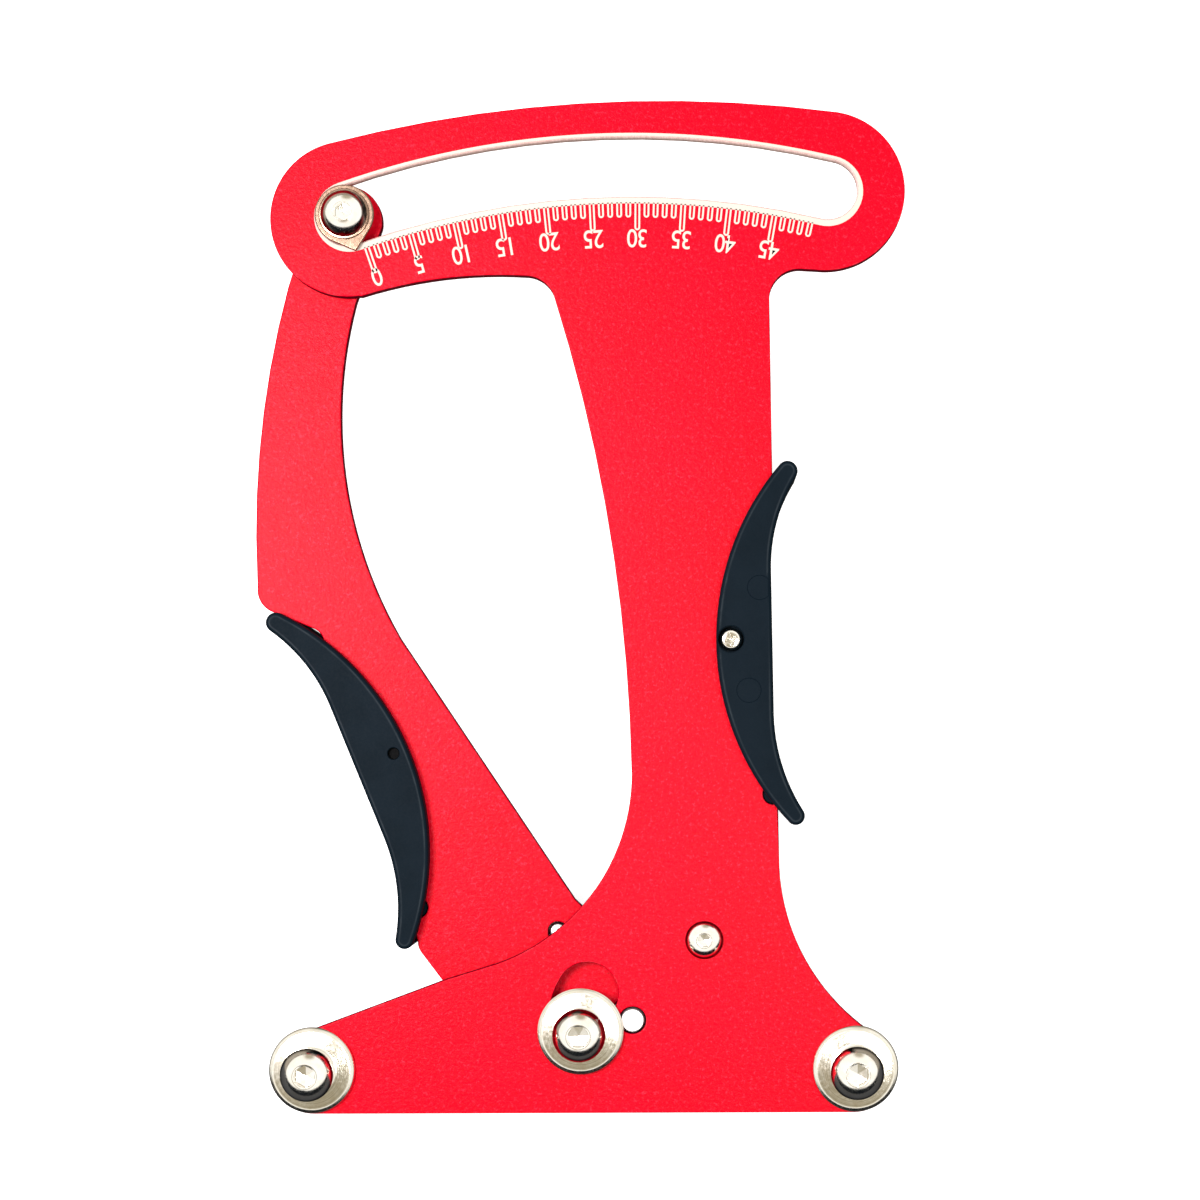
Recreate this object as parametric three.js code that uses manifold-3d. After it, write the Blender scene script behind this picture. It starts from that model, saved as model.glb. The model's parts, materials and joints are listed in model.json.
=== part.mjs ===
// Bicycle spoke tension meter, in millimetres, +Z up.
//
// Two flat plates cross at a pivot. The body plate is in front and carries the arc slot and two
// grooved posts. The lever arm behind it carries the pointer and the middle post, which stands
// through a window of the body plate. A torsion spring at the pivot swings the pointer to the low
// end of the slot. The meter lies on its back: +Y runs from the posts towards the arc slot.
//
// All the places below are in the pivot's frame: X and Y from the pivot's axis, Z from the front
// face of the body plate. The last group moves them so that the origin is at the middle of the
// meter's bounding box, at its lowest point.

import * as THREE from 'three';
import { mergeVertices } from 'three/addons/utils/BufferGeometryUtils.js';
import Module from 'manifold-3d';

const wasm = await Module();
wasm.setup();

// ---------------------------------------------------------------- driving dimensions

const CHORD_TOLERANCE = 0.05; // how far a straight side may stray from its arc
const TOUCH_GAP = 0.1; // between two faces that rest on each other
const ROUND_SIDES = 20;

const PLATE_THICKNESS = 3.0;
const PLATE_GAP = 0.8;
const BODY_FRONT = 0;
const BODY_BACK = BODY_FRONT - PLATE_THICKNESS;
const ARM_FRONT = BODY_BACK - PLATE_GAP;
const ARM_BACK = ARM_FRONT - PLATE_THICKNESS;

const BASE_BOTTOM = -18.56;
const BASE_END_RADIUS = 8.2;
const TOP_EDGE = { x: 5.9, y: -83.1, radius: 267.05 };
const RIGHT_LOBE = { x: 39.1, y: 165.8, radius: 15.95 };
const LEFT_LOBE = { x: -56.4, y: 160.5, radius: 15.6 };
const ARM_LEFT_EDGE = { x: 113.9, y: 97.8, radius: 189.54 };
const ARM_RIGHT_EDGE = { x: 31.0, y: 121.0, radius: 89.45 };
const ARM_HUB_RADIUS = 9.5;

const SLOT_RADIUS = 170.75; // from the pivot to the middle of the arc slot
const SLOT_HALF_WIDTH = 5.95;
const SLOT_RIGHT_END = 76.6; // degrees from +X
const SLOT_LEFT_END = 109.33; // the low end of the scale
const WINDOW_RADIUS = 10.55;
const WINDOW_HALF_WIDTH = 6.2;
const WINDOW_START = 148.8;
const WINDOW_END = 200;

const LEFT_POST = { x: -64.04, y: -9.69 };
const RIGHT_POST = { x: 44.5, y: -9.69 };
const CENTRE_POST = { x: -10.37, y: -2.09 };
const POINTER = { x: -57.0, y: 161.2 };
const BODY_SPRING_POST = { x: 14.4, y: 16.0 };
const ARM_SPRING_PIN = { x: -15.1, y: 17.5 };
const PIVOT = { x: 0, y: 0 };

const POST_HOLE_RADIUS = 3.2; // clearance for M6
const POINTER_HOLE_RADIUS = 2.7; // clearance for M5
const SPRING_SCREW_HOLE_RADIUS = 2.2; // clearance for M4
const PIVOT_HOLE_RADIUS = 2.7;
const ARM_BORE_RADIUS = 4.6;
const ARM_PIN_HOLE_RADIUS = 2.0;
const PEG_HOLE_RADIUS = 2.1;
const GRIP_SCREW_HOLE_RADIUS = 1.9;

const FLANGE_RADIUS = 8.6;
const FLANGE_TOP = 2.0;
const NECK_RADIUS = 4.0;
const NECK_TOP = 7.9;
const CENTRE_HUB_RADIUS = 4.25;

const PIVOT_BUSH_RADIUS = 4.5;
const PIVOT_BUSH_BORE = 2.7;
const PIVOT_BUSH_BACK = -14.75;
const RETAINING_WASHER_THICKNESS = 0.8;
const PIVOT_HEAD_RADIUS = 4.6;
const PIVOT_HEAD_HEIGHT = 2.65;
const LOWEST = PIVOT_BUSH_BACK - 2 * TOUCH_GAP - RETAINING_WASHER_THICKNESS - PIVOT_HEAD_HEIGHT;

const SPRING_WIRE_RADIUS = 1.1;
const SPRING_COIL_RADIUS = 7.0; // from the pivot to the middle of the wire
const SPRING_TURNS = 2; // whole turns on top of the angle between the two legs
const SPRING_ARM_Z = -8.0;
const SPRING_BODY_Z = -13.55;
const SPRING_LEG_LENGTH = 24.5;
const ARM_PIN_RADIUS = 2.5;
const BODY_POST_RADIUS = 2.8;

const GRIP_RISE = 3.6; // of a grip's front face above its own plate
const GRIP_BACK = -14.8;
const GRIP_EDGE = 0.8; // the rounding along the grips' outer edges
const GRIP_RECESS_DEPTH = 2.4;
const GRIP_SCREW_PLACE = { u: 1.15, v: 11.5 };
const GRIP_PEGS = [{ u: 9.5, v: 10.5 }, { u: -9.5, v: 10.5 }];
const GRIP_UPPER_TIP = 2.03;
const GRIP_LOWER_TIP = 1.83;
const GRIP_SKIN = 1.2; // what closes the far end of a grip's screw hole
const LUG_RADIUS = 1.9; // a lug of the back half that stands in a notch near the grip's low end
const LUG_COLLAR = 0.4; // how much wider the lug is behind its plate
// A grip lies along its chord: u runs up the chord, v towards the other grip.
const RIGHT_GRIP = {
  x: 31.43, y: 75.1, along: [-0.016, 0.99987], inward: [-0.99987, -0.016], lug: { u: -29.9, v: 3.6 },
};
const LEFT_GRIP = {
  x: -57.9, y: 48.1, along: [-0.3766, 0.9264], inward: [0.9264, 0.3766], lug: { u: -29.3, v: 3.8 },
};

const RED = { color: 0xe01030, roughness: 0.42, metalness: 0.55 };
const NICKEL = { color: 0xb8b2a8, roughness: 0.28, metalness: 1.0 };
const STEEL = { color: 0x8f9296, roughness: 0.35, metalness: 1.0 };
const BLACK_PLASTIC = { color: 0x262f38, roughness: 0.55, metalness: 0.0 };

// ---------------------------------------------------------------- outlines and solids

const radians = THREE.MathUtils.degToRad;
const degrees = THREE.MathUtils.radToDeg;

// Points along a circle from one angle to another, in degrees, both ends included.
function arc({ x, y, radius }, from, to) {
  const span = radians(to - from);
  const widestStep = 2 * Math.acos(1 - CHORD_TOLERANCE / radius);
  const steps = Math.max(2, Math.ceil(Math.abs(span) / widestStep));
  const points = [];
  for (let i = 0; i <= steps; i += 1) {
    const angle = radians(from) + (span * i) / steps;
    points.push(new THREE.Vector2(x + radius * Math.cos(angle), y + radius * Math.sin(angle)));
  }
  return points;
}

function corner(x, y) {
  return [new THREE.Vector2(x, y)];
}

function fullCircle({ x, y }, radius) {
  return arc({ x, y, radius }, 0, 360).slice(0, -1);
}

// A slot with round ends that follows a circle about the pivot, anticlockwise from start to end.
function arcSlot(radius, halfWidth, start, end) {
  const endCentre = (angle) => ({
    x: radius * Math.cos(radians(angle)),
    y: radius * Math.sin(radians(angle)),
    radius: halfWidth,
  });
  return [
    ...arc({ ...PIVOT, radius: radius + halfWidth }, start, end),
    ...arc(endCentre(end), end, end + 180).slice(1, -1),
    ...arc({ ...PIVOT, radius: radius - halfWidth }, end, start),
    ...arc(endCentre(start), start + 180, start + 360).slice(1, -1),
  ];
}

// Where a circle of radius ra about a crosses one of radius rb about b, on the left of a to b.
function crossing(a, ra, b, rb) {
  const dx = b.x - a.x;
  const dy = b.y - a.y;
  const distance = Math.hypot(dx, dy);
  const forward = (distance ** 2 + ra ** 2 - rb ** 2) / (2 * distance);
  const sideways = Math.sqrt(ra ** 2 - forward ** 2);
  return {
    x: a.x + (forward * dx - sideways * dy) / distance,
    y: a.y + (forward * dy + sideways * dx) / distance,
  };
}

function angleTo(from, to) {
  return degrees(Math.atan2(to.y - from.y, to.x - from.x));
}

// A closed geometry as a solid that can be cut and joined.
function solidOf(geometry) {
  const bare = geometry.clone();
  bare.deleteAttribute('normal');
  bare.deleteAttribute('uv');
  const merged = mergeVertices(bare, 1e-4);
  const triVerts = [];
  for (let i = 0; i < merged.index.count; i += 3) {
    const triangle = [0, 1, 2].map((k) => merged.index.getX(i + k));
    if (new Set(triangle).size === 3) {
      triVerts.push(...triangle);
    }
  }
  return new wasm.Manifold(new wasm.Mesh({
    numProp: 3,
    vertProperties: new Float32Array(merged.attributes.position.array),
    triVerts: new Uint32Array(triVerts),
  }));
}

function geometryOf(solid) {
  const mesh = solid.getMesh();
  const geometry = new THREE.BufferGeometry();
  geometry.setAttribute('position', new THREE.BufferAttribute(mesh.vertProperties, 3));
  geometry.setIndex(new THREE.BufferAttribute(mesh.triVerts, 1));
  return geometry;
}

// A flat outline with holes, between two heights.
function slab(points, zLow, zHigh, holes = []) {
  const shape = new THREE.Shape(points);
  shape.holes = holes.map((hole) => new THREE.Path(hole));
  const geometry = new THREE.ExtrudeGeometry(shape, { depth: zHigh - zLow, bevelEnabled: false });
  return solidOf(geometry.translate(0, 0, zLow));
}

// A vertical round bar, or a prism with few sides.
function bar({ x, y }, radius, zLow, zHigh, sides = ROUND_SIDES, topRadius = radius) {
  const geometry = new THREE.CylinderGeometry(topRadius, radius, zHigh - zLow, sides);
  geometry.rotateX(Math.PI / 2);
  return solidOf(geometry.translate(x, y, (zLow + zHigh) / 2));
}

// A body turned about Z from [radius, z] points, anticlockwise round its half section.
function turned(profile) {
  const points = profile.map(([radius, z]) => new THREE.Vector2(radius, z));
  return solidOf(new THREE.LatheGeometry(points, ROUND_SIDES).rotateX(Math.PI / 2));
}

// A turned ring, with a small chamfer on its outer edges.
function ring(bore, outer, zLow, zHigh, chamfer = 0.2) {
  return turned([
    [bore, zLow],
    [outer - chamfer, zLow],
    [outer, zLow + chamfer],
    [outer, zHigh - chamfer],
    [outer - chamfer, zHigh],
    [bore, zHigh],
    [bore, zLow],
  ]);
}

const hexCornerRadius = (acrossFlats) => acrossFlats / Math.sqrt(3);

function hexNut(acrossFlats, bore, zLow, zHigh) {
  const prism = bar(PIVOT, hexCornerRadius(acrossFlats), zLow, zHigh, 6);
  return prism.subtract(bar(PIVOT, bore, zLow - 1, zHigh + 1));
}

// A domed socket screw: the underside of its head is at z = 0 and its shank points down.
function buttonScrew({ head, height, socket, shank, length }) {
  const rim = 0.15 * height;
  const flat = hexCornerRadius(socket) + 0.45;
  const lastAngle = Math.acos(flat / head);
  const dome = [];
  const steps = 5;
  for (let i = 0; i <= steps; i += 1) {
    const angle = (lastAngle * i) / steps;
    const rise = Math.sin(angle) / Math.sin(lastAngle);
    dome.push([head * Math.cos(angle), rim + (height - rim) * rise]);
  }
  const blank = turned([
    [0, -length],
    [shank - 0.4, -length],
    [shank, 0.4 - length],
    [shank, 0],
    [head, 0],
    ...dome,
    [0, height],
  ]);
  const hexagon = bar(PIVOT, hexCornerRadius(socket), 0.35 * height, height + 1, 6);
  const mouthDepth = 0.5;
  const mouth = bar(PIVOT, hexCornerRadius(socket) - 0.3, height - mouthDepth, height + 0.1,
    ROUND_SIDES, hexCornerRadius(socket) + 0.3);
  return blank.subtract(hexagon).subtract(mouth);
}

const M6_SCREW = { head: 5.25, height: 3.3, socket: 4.0, shank: 2.9, length: 17 };
const M5_SCREW = { head: 4.6, height: 2.75, socket: 3.0, shank: 2.4, length: 12 };
const M4_SCREW = { head: 3.8, height: 2.2, socket: 2.5, shank: 1.9, length: 10.5 };

// ---------------------------------------------------------------- the two plates

function bodyOutline() {
  const rightCap = { x: 44.3, y: BASE_BOTTOM + BASE_END_RADIUS, radius: BASE_END_RADIUS };
  const leftCap = { x: -63.9, y: BASE_BOTTOM + BASE_END_RADIUS, radius: BASE_END_RADIUS };
  const rightRoot = { x: 72.3, y: 32.5, radius: 42.85 };
  const leftRoot = { x: -40.4, y: 49.5, radius: 40.4 };
  const neckEdge = { x: -338.4, y: 44.4, radius: 338.4 };
  const underside = { x: -26.5, y: 57.3, radius: 91.84 };
  const filletRadius = 6.05;
  const fillet = {
    ...crossing(neckEdge, neckEdge.radius - filletRadius, underside, underside.radius - filletRadius),
    radius: filletRadius,
  };
  const rightCapTop = angleTo(rightCap, rightRoot);
  return [
    ...arc(TOP_EDGE, 104.4, 82.4),
    ...arc(RIGHT_LOBE, 81, -97),
    ...arc({ x: 33.8, y: 144.2, radius: 5.95 }, 87, 180),
    ...corner(28.45, 99.5),
    ...corner(26.3, 97.3),
    ...corner(26.9, 52.5),
    ...corner(29.15, 50.3),
    ...arc(rightRoot, 180, rightCapTop + 180),
    ...arc(rightCap, rightCapTop, -90),
    ...arc(leftCap, 270, 110.2),
    ...corner(-37.65, 8.12),
    ...arc(leftRoot, -71, 0),
    ...arc(neckEdge, 1, angleTo(neckEdge, fillet)),
    ...arc(fillet, angleTo(neckEdge, fillet), angleTo(underside, fillet)).slice(1),
    ...arc(underside, angleTo(underside, fillet), 107.3).slice(1),
    ...arc(LEFT_LOBE, 278, 107),
  ];
}

function armOutline() {
  const tip = { x: -57.2, y: 160.6, radius: 7.2 };
  const postLobe = { ...CENTRE_POST, radius: 8.0 };
  const hub = { ...PIVOT, radius: ARM_HUB_RADIUS };
  return [
    ...arc(tip, 165, -10),
    ...arc(ARM_RIGHT_EDGE, 165, 209.8),
    ...corner(-11.65, 23.97),
    ...arc(hub, 48, -95),
    ...arc(postLobe, 265, 235),
    ...corner(-33.5, 1.2),
    ...arc({ x: -39.9, y: 15.4, radius: 3.4 }, 217, 180),
    ...corner(-52.2, 50.5),
    ...arc({ x: -65.15, y: 75.75, radius: 3.1 }, 10, 69),
    ...arc({ x: -70.6, y: 86.5, radius: 4.8 }, 250, 184),
    ...arc(ARM_LEFT_EDGE, 182.8, 164.8),
  ];
}

function gripPoint(grip, u, v) {
  return {
    x: grip.x + u * grip.along[0] + v * grip.inward[0],
    y: grip.y + u * grip.along[1] + v * grip.inward[1],
  };
}

function gripHoles(grip) {
  return [
    fullCircle(gripPoint(grip, GRIP_SCREW_PLACE.u, GRIP_SCREW_PLACE.v), GRIP_SCREW_HOLE_RADIUS),
    ...GRIP_PEGS.map((peg) => fullCircle(gripPoint(grip, peg.u, peg.v), PEG_HOLE_RADIUS)),
  ];
}

// The notch in a plate's edge that takes the lug of its grip.
function lugNotch(grip, zLow, zHigh) {
  return bar(gripPoint(grip, grip.lug.u, grip.lug.v), LUG_RADIUS + 0.2, zLow - 1, zHigh + 1, 28);
}

// The front plate, between its own two faces or deeper.
function bodyPlate(zLow = BODY_BACK, zHigh = BODY_FRONT) {
  const plate = slab(bodyOutline(), zLow, zHigh, [
    arcSlot(SLOT_RADIUS, SLOT_HALF_WIDTH, SLOT_RIGHT_END, SLOT_LEFT_END),
    arcSlot(WINDOW_RADIUS, WINDOW_HALF_WIDTH, WINDOW_START, WINDOW_END),
    fullCircle(PIVOT, PIVOT_HOLE_RADIUS),
    fullCircle(LEFT_POST, POST_HOLE_RADIUS),
    fullCircle(RIGHT_POST, POST_HOLE_RADIUS),
    fullCircle(BODY_SPRING_POST, SPRING_SCREW_HOLE_RADIUS),
    ...gripHoles(RIGHT_GRIP),
  ]);
  return plate.subtract(lugNotch(RIGHT_GRIP, zLow, zHigh));
}

function leverArm(zLow = ARM_BACK, zHigh = ARM_FRONT) {
  const plate = slab(armOutline(), zLow, zHigh, [
    fullCircle(POINTER, POINTER_HOLE_RADIUS),
    fullCircle(PIVOT, ARM_BORE_RADIUS),
    fullCircle(CENTRE_POST, POST_HOLE_RADIUS),
    fullCircle(ARM_SPRING_PIN, ARM_PIN_HOLE_RADIUS),
    ...gripHoles(LEFT_GRIP),
  ]);
  return plate.subtract(lugNotch(LEFT_GRIP, zLow, zHigh));
}

// ---------------------------------------------------------------- posts and pivot

// A fixed post: a broad flange on the plate, and a neck that the spoke bears on.
function fixedSpool() {
  return turned([
    [POST_HOLE_RADIUS, TOUCH_GAP],
    [FLANGE_RADIUS, TOUCH_GAP],
    [FLANGE_RADIUS, FLANGE_TOP - 0.8],
    [FLANGE_RADIUS - 0.9, FLANGE_TOP],
    [NECK_RADIUS, FLANGE_TOP],
    [NECK_RADIUS, NECK_TOP],
    [POST_HOLE_RADIUS, NECK_TOP],
    [POST_HOLE_RADIUS, TOUCH_GAP],
  ]);
}

// The middle post stands on the lever arm: its hub passes through the window of the body plate.
function centreSpool() {
  const flangeBottom = 0.7;
  return turned([
    [POST_HOLE_RADIUS, ARM_FRONT + TOUCH_GAP],
    [CENTRE_HUB_RADIUS, ARM_FRONT + TOUCH_GAP],
    [CENTRE_HUB_RADIUS, flangeBottom],
    [FLANGE_RADIUS, flangeBottom],
    [FLANGE_RADIUS, FLANGE_TOP - 0.7],
    [FLANGE_RADIUS - 0.9, FLANGE_TOP],
    [NECK_RADIUS, FLANGE_TOP],
    [NECK_RADIUS, NECK_TOP],
    [POST_HOLE_RADIUS, NECK_TOP],
    [POST_HOLE_RADIUS, ARM_FRONT + TOUCH_GAP],
  ]);
}

// The pivot screw comes from behind, through the bush, and its end is flush in the body plate.
function pivotScrew() {
  const headTop = LOWEST + PIVOT_HEAD_HEIGHT;
  const shank = 2.4;
  const blank = turned([
    [0, LOWEST],
    [PIVOT_HEAD_RADIUS - 0.6, LOWEST],
    [PIVOT_HEAD_RADIUS, LOWEST + 0.8],
    [PIVOT_HEAD_RADIUS, headTop],
    [shank, headTop],
    [shank, BODY_FRONT],
    [shank - 0.2, BODY_FRONT + 0.2],
    [0, BODY_FRONT + 0.2],
  ]);
  const socket = bar(PIVOT, hexCornerRadius(3), LOWEST - 1, LOWEST + 1.6, 6);
  return blank.subtract(socket);
}

// ---------------------------------------------------------------- torsion spring

// The angle at which a straight leg leaves the coil so that it passes just inside a pin.
function legAngle(pin, pinRadius, side) {
  const reach = SPRING_COIL_RADIUS + pinRadius + SPRING_WIRE_RADIUS + 0.05;
  const distance = Math.hypot(pin.x, pin.y);
  return angleTo(PIVOT, pin) + side * degrees(Math.acos(reach / distance));
}

function torsionSpring() {
  const leftAngle = legAngle(ARM_SPRING_PIN, ARM_PIN_RADIUS, 1);
  const rightAngle = legAngle(BODY_SPRING_POST, BODY_POST_RADIUS, -1) + 360;
  const sweep = rightAngle - leftAngle + 360 * SPRING_TURNS;
  const legPoint = (angle, distance, z) => {
    const onCoil = radians(angle);
    return new THREE.Vector3(
      SPRING_COIL_RADIUS * Math.cos(onCoil) + distance * Math.sin(onCoil),
      SPRING_COIL_RADIUS * Math.sin(onCoil) - distance * Math.cos(onCoil),
      z,
    );
  };
  const points = [];
  const legSteps = 5;
  for (let i = legSteps; i > 0; i -= 1) {
    points.push(legPoint(leftAngle, (SPRING_LEG_LENGTH * i) / legSteps, SPRING_ARM_Z));
  }
  const coilSteps = Math.round(sweep / 18);
  for (let i = 0; i <= coilSteps; i += 1) {
    const z = THREE.MathUtils.lerp(SPRING_ARM_Z, SPRING_BODY_Z, i / coilSteps);
    points.push(legPoint(leftAngle + (sweep * i) / coilSteps, 0, z));
  }
  for (let i = 1; i <= legSteps; i += 1) {
    points.push(legPoint(rightAngle, (-SPRING_LEG_LENGTH * i) / legSteps, SPRING_BODY_Z));
  }
  const section = new THREE.Shape(arc({ ...PIVOT, radius: SPRING_WIRE_RADIUS }, 0, 315));
  const wire = new THREE.ExtrudeGeometry(section, {
    steps: 84,
    extrudePath: new THREE.CatmullRomCurve3(points, false, 'centripetal'),
  });
  return solidOf(wire);
}

// ---------------------------------------------------------------- pointer

// A drop-shaped plate whose tip points at the scale.
function pointerPlate(zLow, zHigh) {
  const disc = { x: 0, y: 0, radius: 5.9 };
  const tip = { x: 2.1, y: -6.8, radius: 0.5 };
  const towardsTip = angleTo(disc, tip);
  const lean = degrees(Math.acos((disc.radius - tip.radius) / Math.hypot(tip.x, tip.y)));
  const outline = [
    ...arc(disc, towardsTip + lean, towardsTip + 360 - lean),
    ...arc(tip, towardsTip - lean, towardsTip + lean),
  ];
  return slab(outline, zLow, zHigh, [fullCircle(PIVOT, POINTER_HOLE_RADIUS)]);
}

// ---------------------------------------------------------------- grips

// A shallow crescent: the inner edge bulges towards the other grip and the outer edge is waisted.
function gripOutline(grip) {
  const inner = { x: 0.4, y: -39.05, radius: 53.5 };
  const upper = { x: 14.8, y: -31.35, radius: 34.6 };
  const lower = { x: -13.7, y: -34.25, radius: 37.5 };
  const upperTip = {
    ...crossing(inner, inner.radius - GRIP_UPPER_TIP, upper, upper.radius + GRIP_UPPER_TIP),
    radius: GRIP_UPPER_TIP,
  };
  const lowerTip = {
    ...crossing(lower, lower.radius + GRIP_LOWER_TIP, inner, inner.radius - GRIP_LOWER_TIP),
    radius: GRIP_LOWER_TIP,
  };
  const outline = [
    ...arc(inner, angleTo(inner, upperTip), angleTo(inner, lowerTip)),
    ...arc(lowerTip, angleTo(inner, lowerTip), angleTo(lowerTip, lower) + 360).slice(1),
    ...arc(lower, angleTo(lower, lowerTip), 90).slice(1),
    ...arc(upper, 90, angleTo(upper, upperTip)),
    ...arc(upperTip, angleTo(upperTip, upper), angleTo(inner, upperTip)).slice(1, -1),
  ];
  return outline.map(({ x, y }) => {
    const placed = gripPoint(grip, x, y);
    return new THREE.Vector2(placed.x, placed.y);
  });
}

// The whole grip with rounded front and back edges, before it is split round the plate.
function gripBlock(grip, front) {
  const geometry = new THREE.ExtrudeGeometry(new THREE.Shape(gripOutline(grip)), {
    depth: front - GRIP_BACK - 2 * GRIP_EDGE,
    bevelThickness: GRIP_EDGE,
    bevelSize: GRIP_EDGE,
    bevelOffset: -GRIP_EDGE,
    bevelSegments: 2,
  });
  return solidOf(geometry.translate(0, 0, GRIP_BACK + GRIP_EDGE));
}

// Two half shells that close round a plate. The back half fills the room beside the plate, and
// its pegs stand in the plate's holes.
function gripShells(grip, plate, plateBack, plateFront, screwInFront) {
  const front = plateFront + GRIP_RISE;
  const block = gripBlock(grip, front);
  const centre = { x: grip.x, y: grip.y };
  const around = (zLow, zHigh) => bar(centre, 60, zLow, zHigh);
  const clearance = 0.3;
  let web = block.intersect(around(plateBack - 2 * TOUCH_GAP, plateFront - 0.05));
  for (let i = 0; i < 8; i += 1) {
    const angle = (i * Math.PI) / 4;
    web = web.subtract(plate.translate([clearance * Math.cos(angle), clearance * Math.sin(angle), 0]));
  }
  const screwAt = gripPoint(grip, GRIP_SCREW_PLACE.u, GRIP_SCREW_PLACE.v);
  const shankHole = bar(screwAt, 1.7, plateBack - 9, plateFront + 2);
  const lugAt = gripPoint(grip, grip.lug.u, grip.lug.v);
  const collar = bar(lugAt, LUG_RADIUS + LUG_COLLAR, plateBack - 2.5, plateBack - TOUCH_GAP);
  const lug = bar(lugAt, LUG_RADIUS, plateBack - 2.5, plateFront - 0.05).add(collar);
  const halves = [
    block.intersect(around(plateFront + TOUCH_GAP, front + 1)),
    block.intersect(around(GRIP_BACK - 1, plateBack - TOUCH_GAP)).add(web).add(lug),
  ];
  const headHole = screwInFront
    ? bar(screwAt, 2.6, front - GRIP_RECESS_DEPTH, front + 1)
    : bar(screwAt, 2.6, GRIP_BACK - 1, GRIP_BACK + GRIP_RECESS_DEPTH);
  const blindHole = screwInFront
    ? bar(screwAt, 1.1, GRIP_BACK + GRIP_SKIN, front, 16)
    : bar(screwAt, 1.1, GRIP_BACK, front - GRIP_SKIN, 16);
  return halves.map((half) => half.subtract(shankHole).subtract(headHole).subtract(blindHole));
}

// A cross recess screw: the top of its head is at z = 0 and its shank points down.
function gripScrew() {
  const head = 2.25;
  const headHeight = 1.7;
  const shank = 1.45;
  const length = 12.5;
  const recessWidth = 0.7;
  const blank = turned([
    [0, -length],
    [0.5, -length],
    [shank, 1.5 - length],
    [shank, -headHeight],
    [head, -headHeight],
    [head, -0.6],
    [head - 0.5, 0],
    [0, 0],
  ]);
  const slot = new THREE.BoxGeometry(2.6, recessWidth, 2.0);
  const crossSlot = new THREE.BoxGeometry(recessWidth, 2.6, 2.0);
  return blank.subtract(solidOf(slot)).subtract(solidOf(crossSlot));
}

// ---------------------------------------------------------------- assembly

const meter = new THREE.Group();

function addPiece(name, solid, finish, { x, y } = PIVOT, z = 0) {
  const mesh = new THREE.Mesh(geometryOf(solid), new THREE.MeshStandardMaterial(finish));
  mesh.name = name;
  mesh.position.set(x, y, z);
  meter.add(mesh);
  return mesh;
}

addPiece('body_plate', bodyPlate(), RED);
addPiece('lever_arm', leverArm(), RED);

const washerFront = BODY_BACK - TOUCH_GAP;
const bushFront = ARM_FRONT - TOUCH_GAP;
const retainerFront = PIVOT_BUSH_BACK - TOUCH_GAP;
addPiece('arm_thrust_washer', ring(PIVOT_HOLE_RADIUS, 4.2, ARM_FRONT + TOUCH_GAP, washerFront, 0.1), STEEL);
addPiece('pivot_bush', ring(PIVOT_BUSH_BORE, PIVOT_BUSH_RADIUS, PIVOT_BUSH_BACK, bushFront), STEEL);
addPiece('spring_retaining_washer',
  ring(PIVOT_BUSH_BORE, 8.0, retainerFront - RETAINING_WASHER_THICKNESS, retainerFront), NICKEL);
addPiece('pivot_screw', pivotScrew(), NICKEL);
addPiece('torsion_spring', torsionSpring(), STEEL);

const postBack = -14.5;
const springPost = bar(PIVOT, BODY_POST_RADIUS, postBack, BODY_BACK - TOUCH_GAP)
  .subtract(bar(PIVOT, SPRING_SCREW_HOLE_RADIUS, -11.5, BODY_BACK));
addPiece('body_spring_post', springPost, STEEL, BODY_SPRING_POST);
addPiece('body_spring_screw', buttonScrew(M4_SCREW), NICKEL, BODY_SPRING_POST, BODY_FRONT + TOUCH_GAP);

const pinFront = ARM_FRONT - 0.5;
const springPin = bar(PIVOT, ARM_PIN_RADIUS, -13, ARM_BACK - TOUCH_GAP)
  .add(bar(PIVOT, ARM_PIN_HOLE_RADIUS - 0.2, ARM_BACK - 1, pinFront));
addPiece('arm_spring_pin', springPin, STEEL, ARM_SPRING_PIN);

const fixedPosts = [['left_post', LEFT_POST], ['right_post', RIGHT_POST]];
for (const [name, place] of fixedPosts) {
  addPiece(`${name}_spool`, fixedSpool(), NICKEL, place);
  addPiece(`${name}_screw`, buttonScrew(M6_SCREW), NICKEL, place, NECK_TOP + TOUCH_GAP);
  const nutFront = BODY_BACK - TOUCH_GAP;
  addPiece(`${name}_nut`, hexNut(10, 3.1, nutFront - 5, nutFront), NICKEL, place);
}
addPiece('centre_post_spool', centreSpool(), NICKEL, CENTRE_POST);
addPiece('centre_post_screw', buttonScrew({ ...M6_SCREW, length: NECK_TOP - ARM_BACK }),
  NICKEL, CENTRE_POST, NECK_TOP + TOUCH_GAP);

const pointerTop = 1.8;
addPiece('pointer_bush', ring(POINTER_HOLE_RADIUS, 4.5, ARM_FRONT + TOUCH_GAP, 0.5), STEEL, POINTER);
addPiece('pointer_plate', pointerPlate(0.6, pointerTop), NICKEL, POINTER);
addPiece('pointer_screw', buttonScrew(M5_SCREW), NICKEL, POINTER, pointerTop + TOUCH_GAP);
addPiece('pointer_nut', hexNut(8, 2.6, ARM_BACK - TOUCH_GAP - 2.7, ARM_BACK - TOUCH_GAP), NICKEL, POINTER);

const headSink = 0.6; // from the face of the grip to the top of its screw
const rightShells = gripShells(RIGHT_GRIP, bodyPlate(BODY_BACK - 1, BODY_FRONT + 1),
  BODY_BACK, BODY_FRONT, true);
addPiece('right_grip_front', rightShells[0], BLACK_PLASTIC);
addPiece('right_grip_back', rightShells[1], BLACK_PLASTIC);
addPiece('right_grip_screw', gripScrew(), NICKEL,
  gripPoint(RIGHT_GRIP, GRIP_SCREW_PLACE.u, GRIP_SCREW_PLACE.v), BODY_FRONT + GRIP_RISE - headSink);

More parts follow.
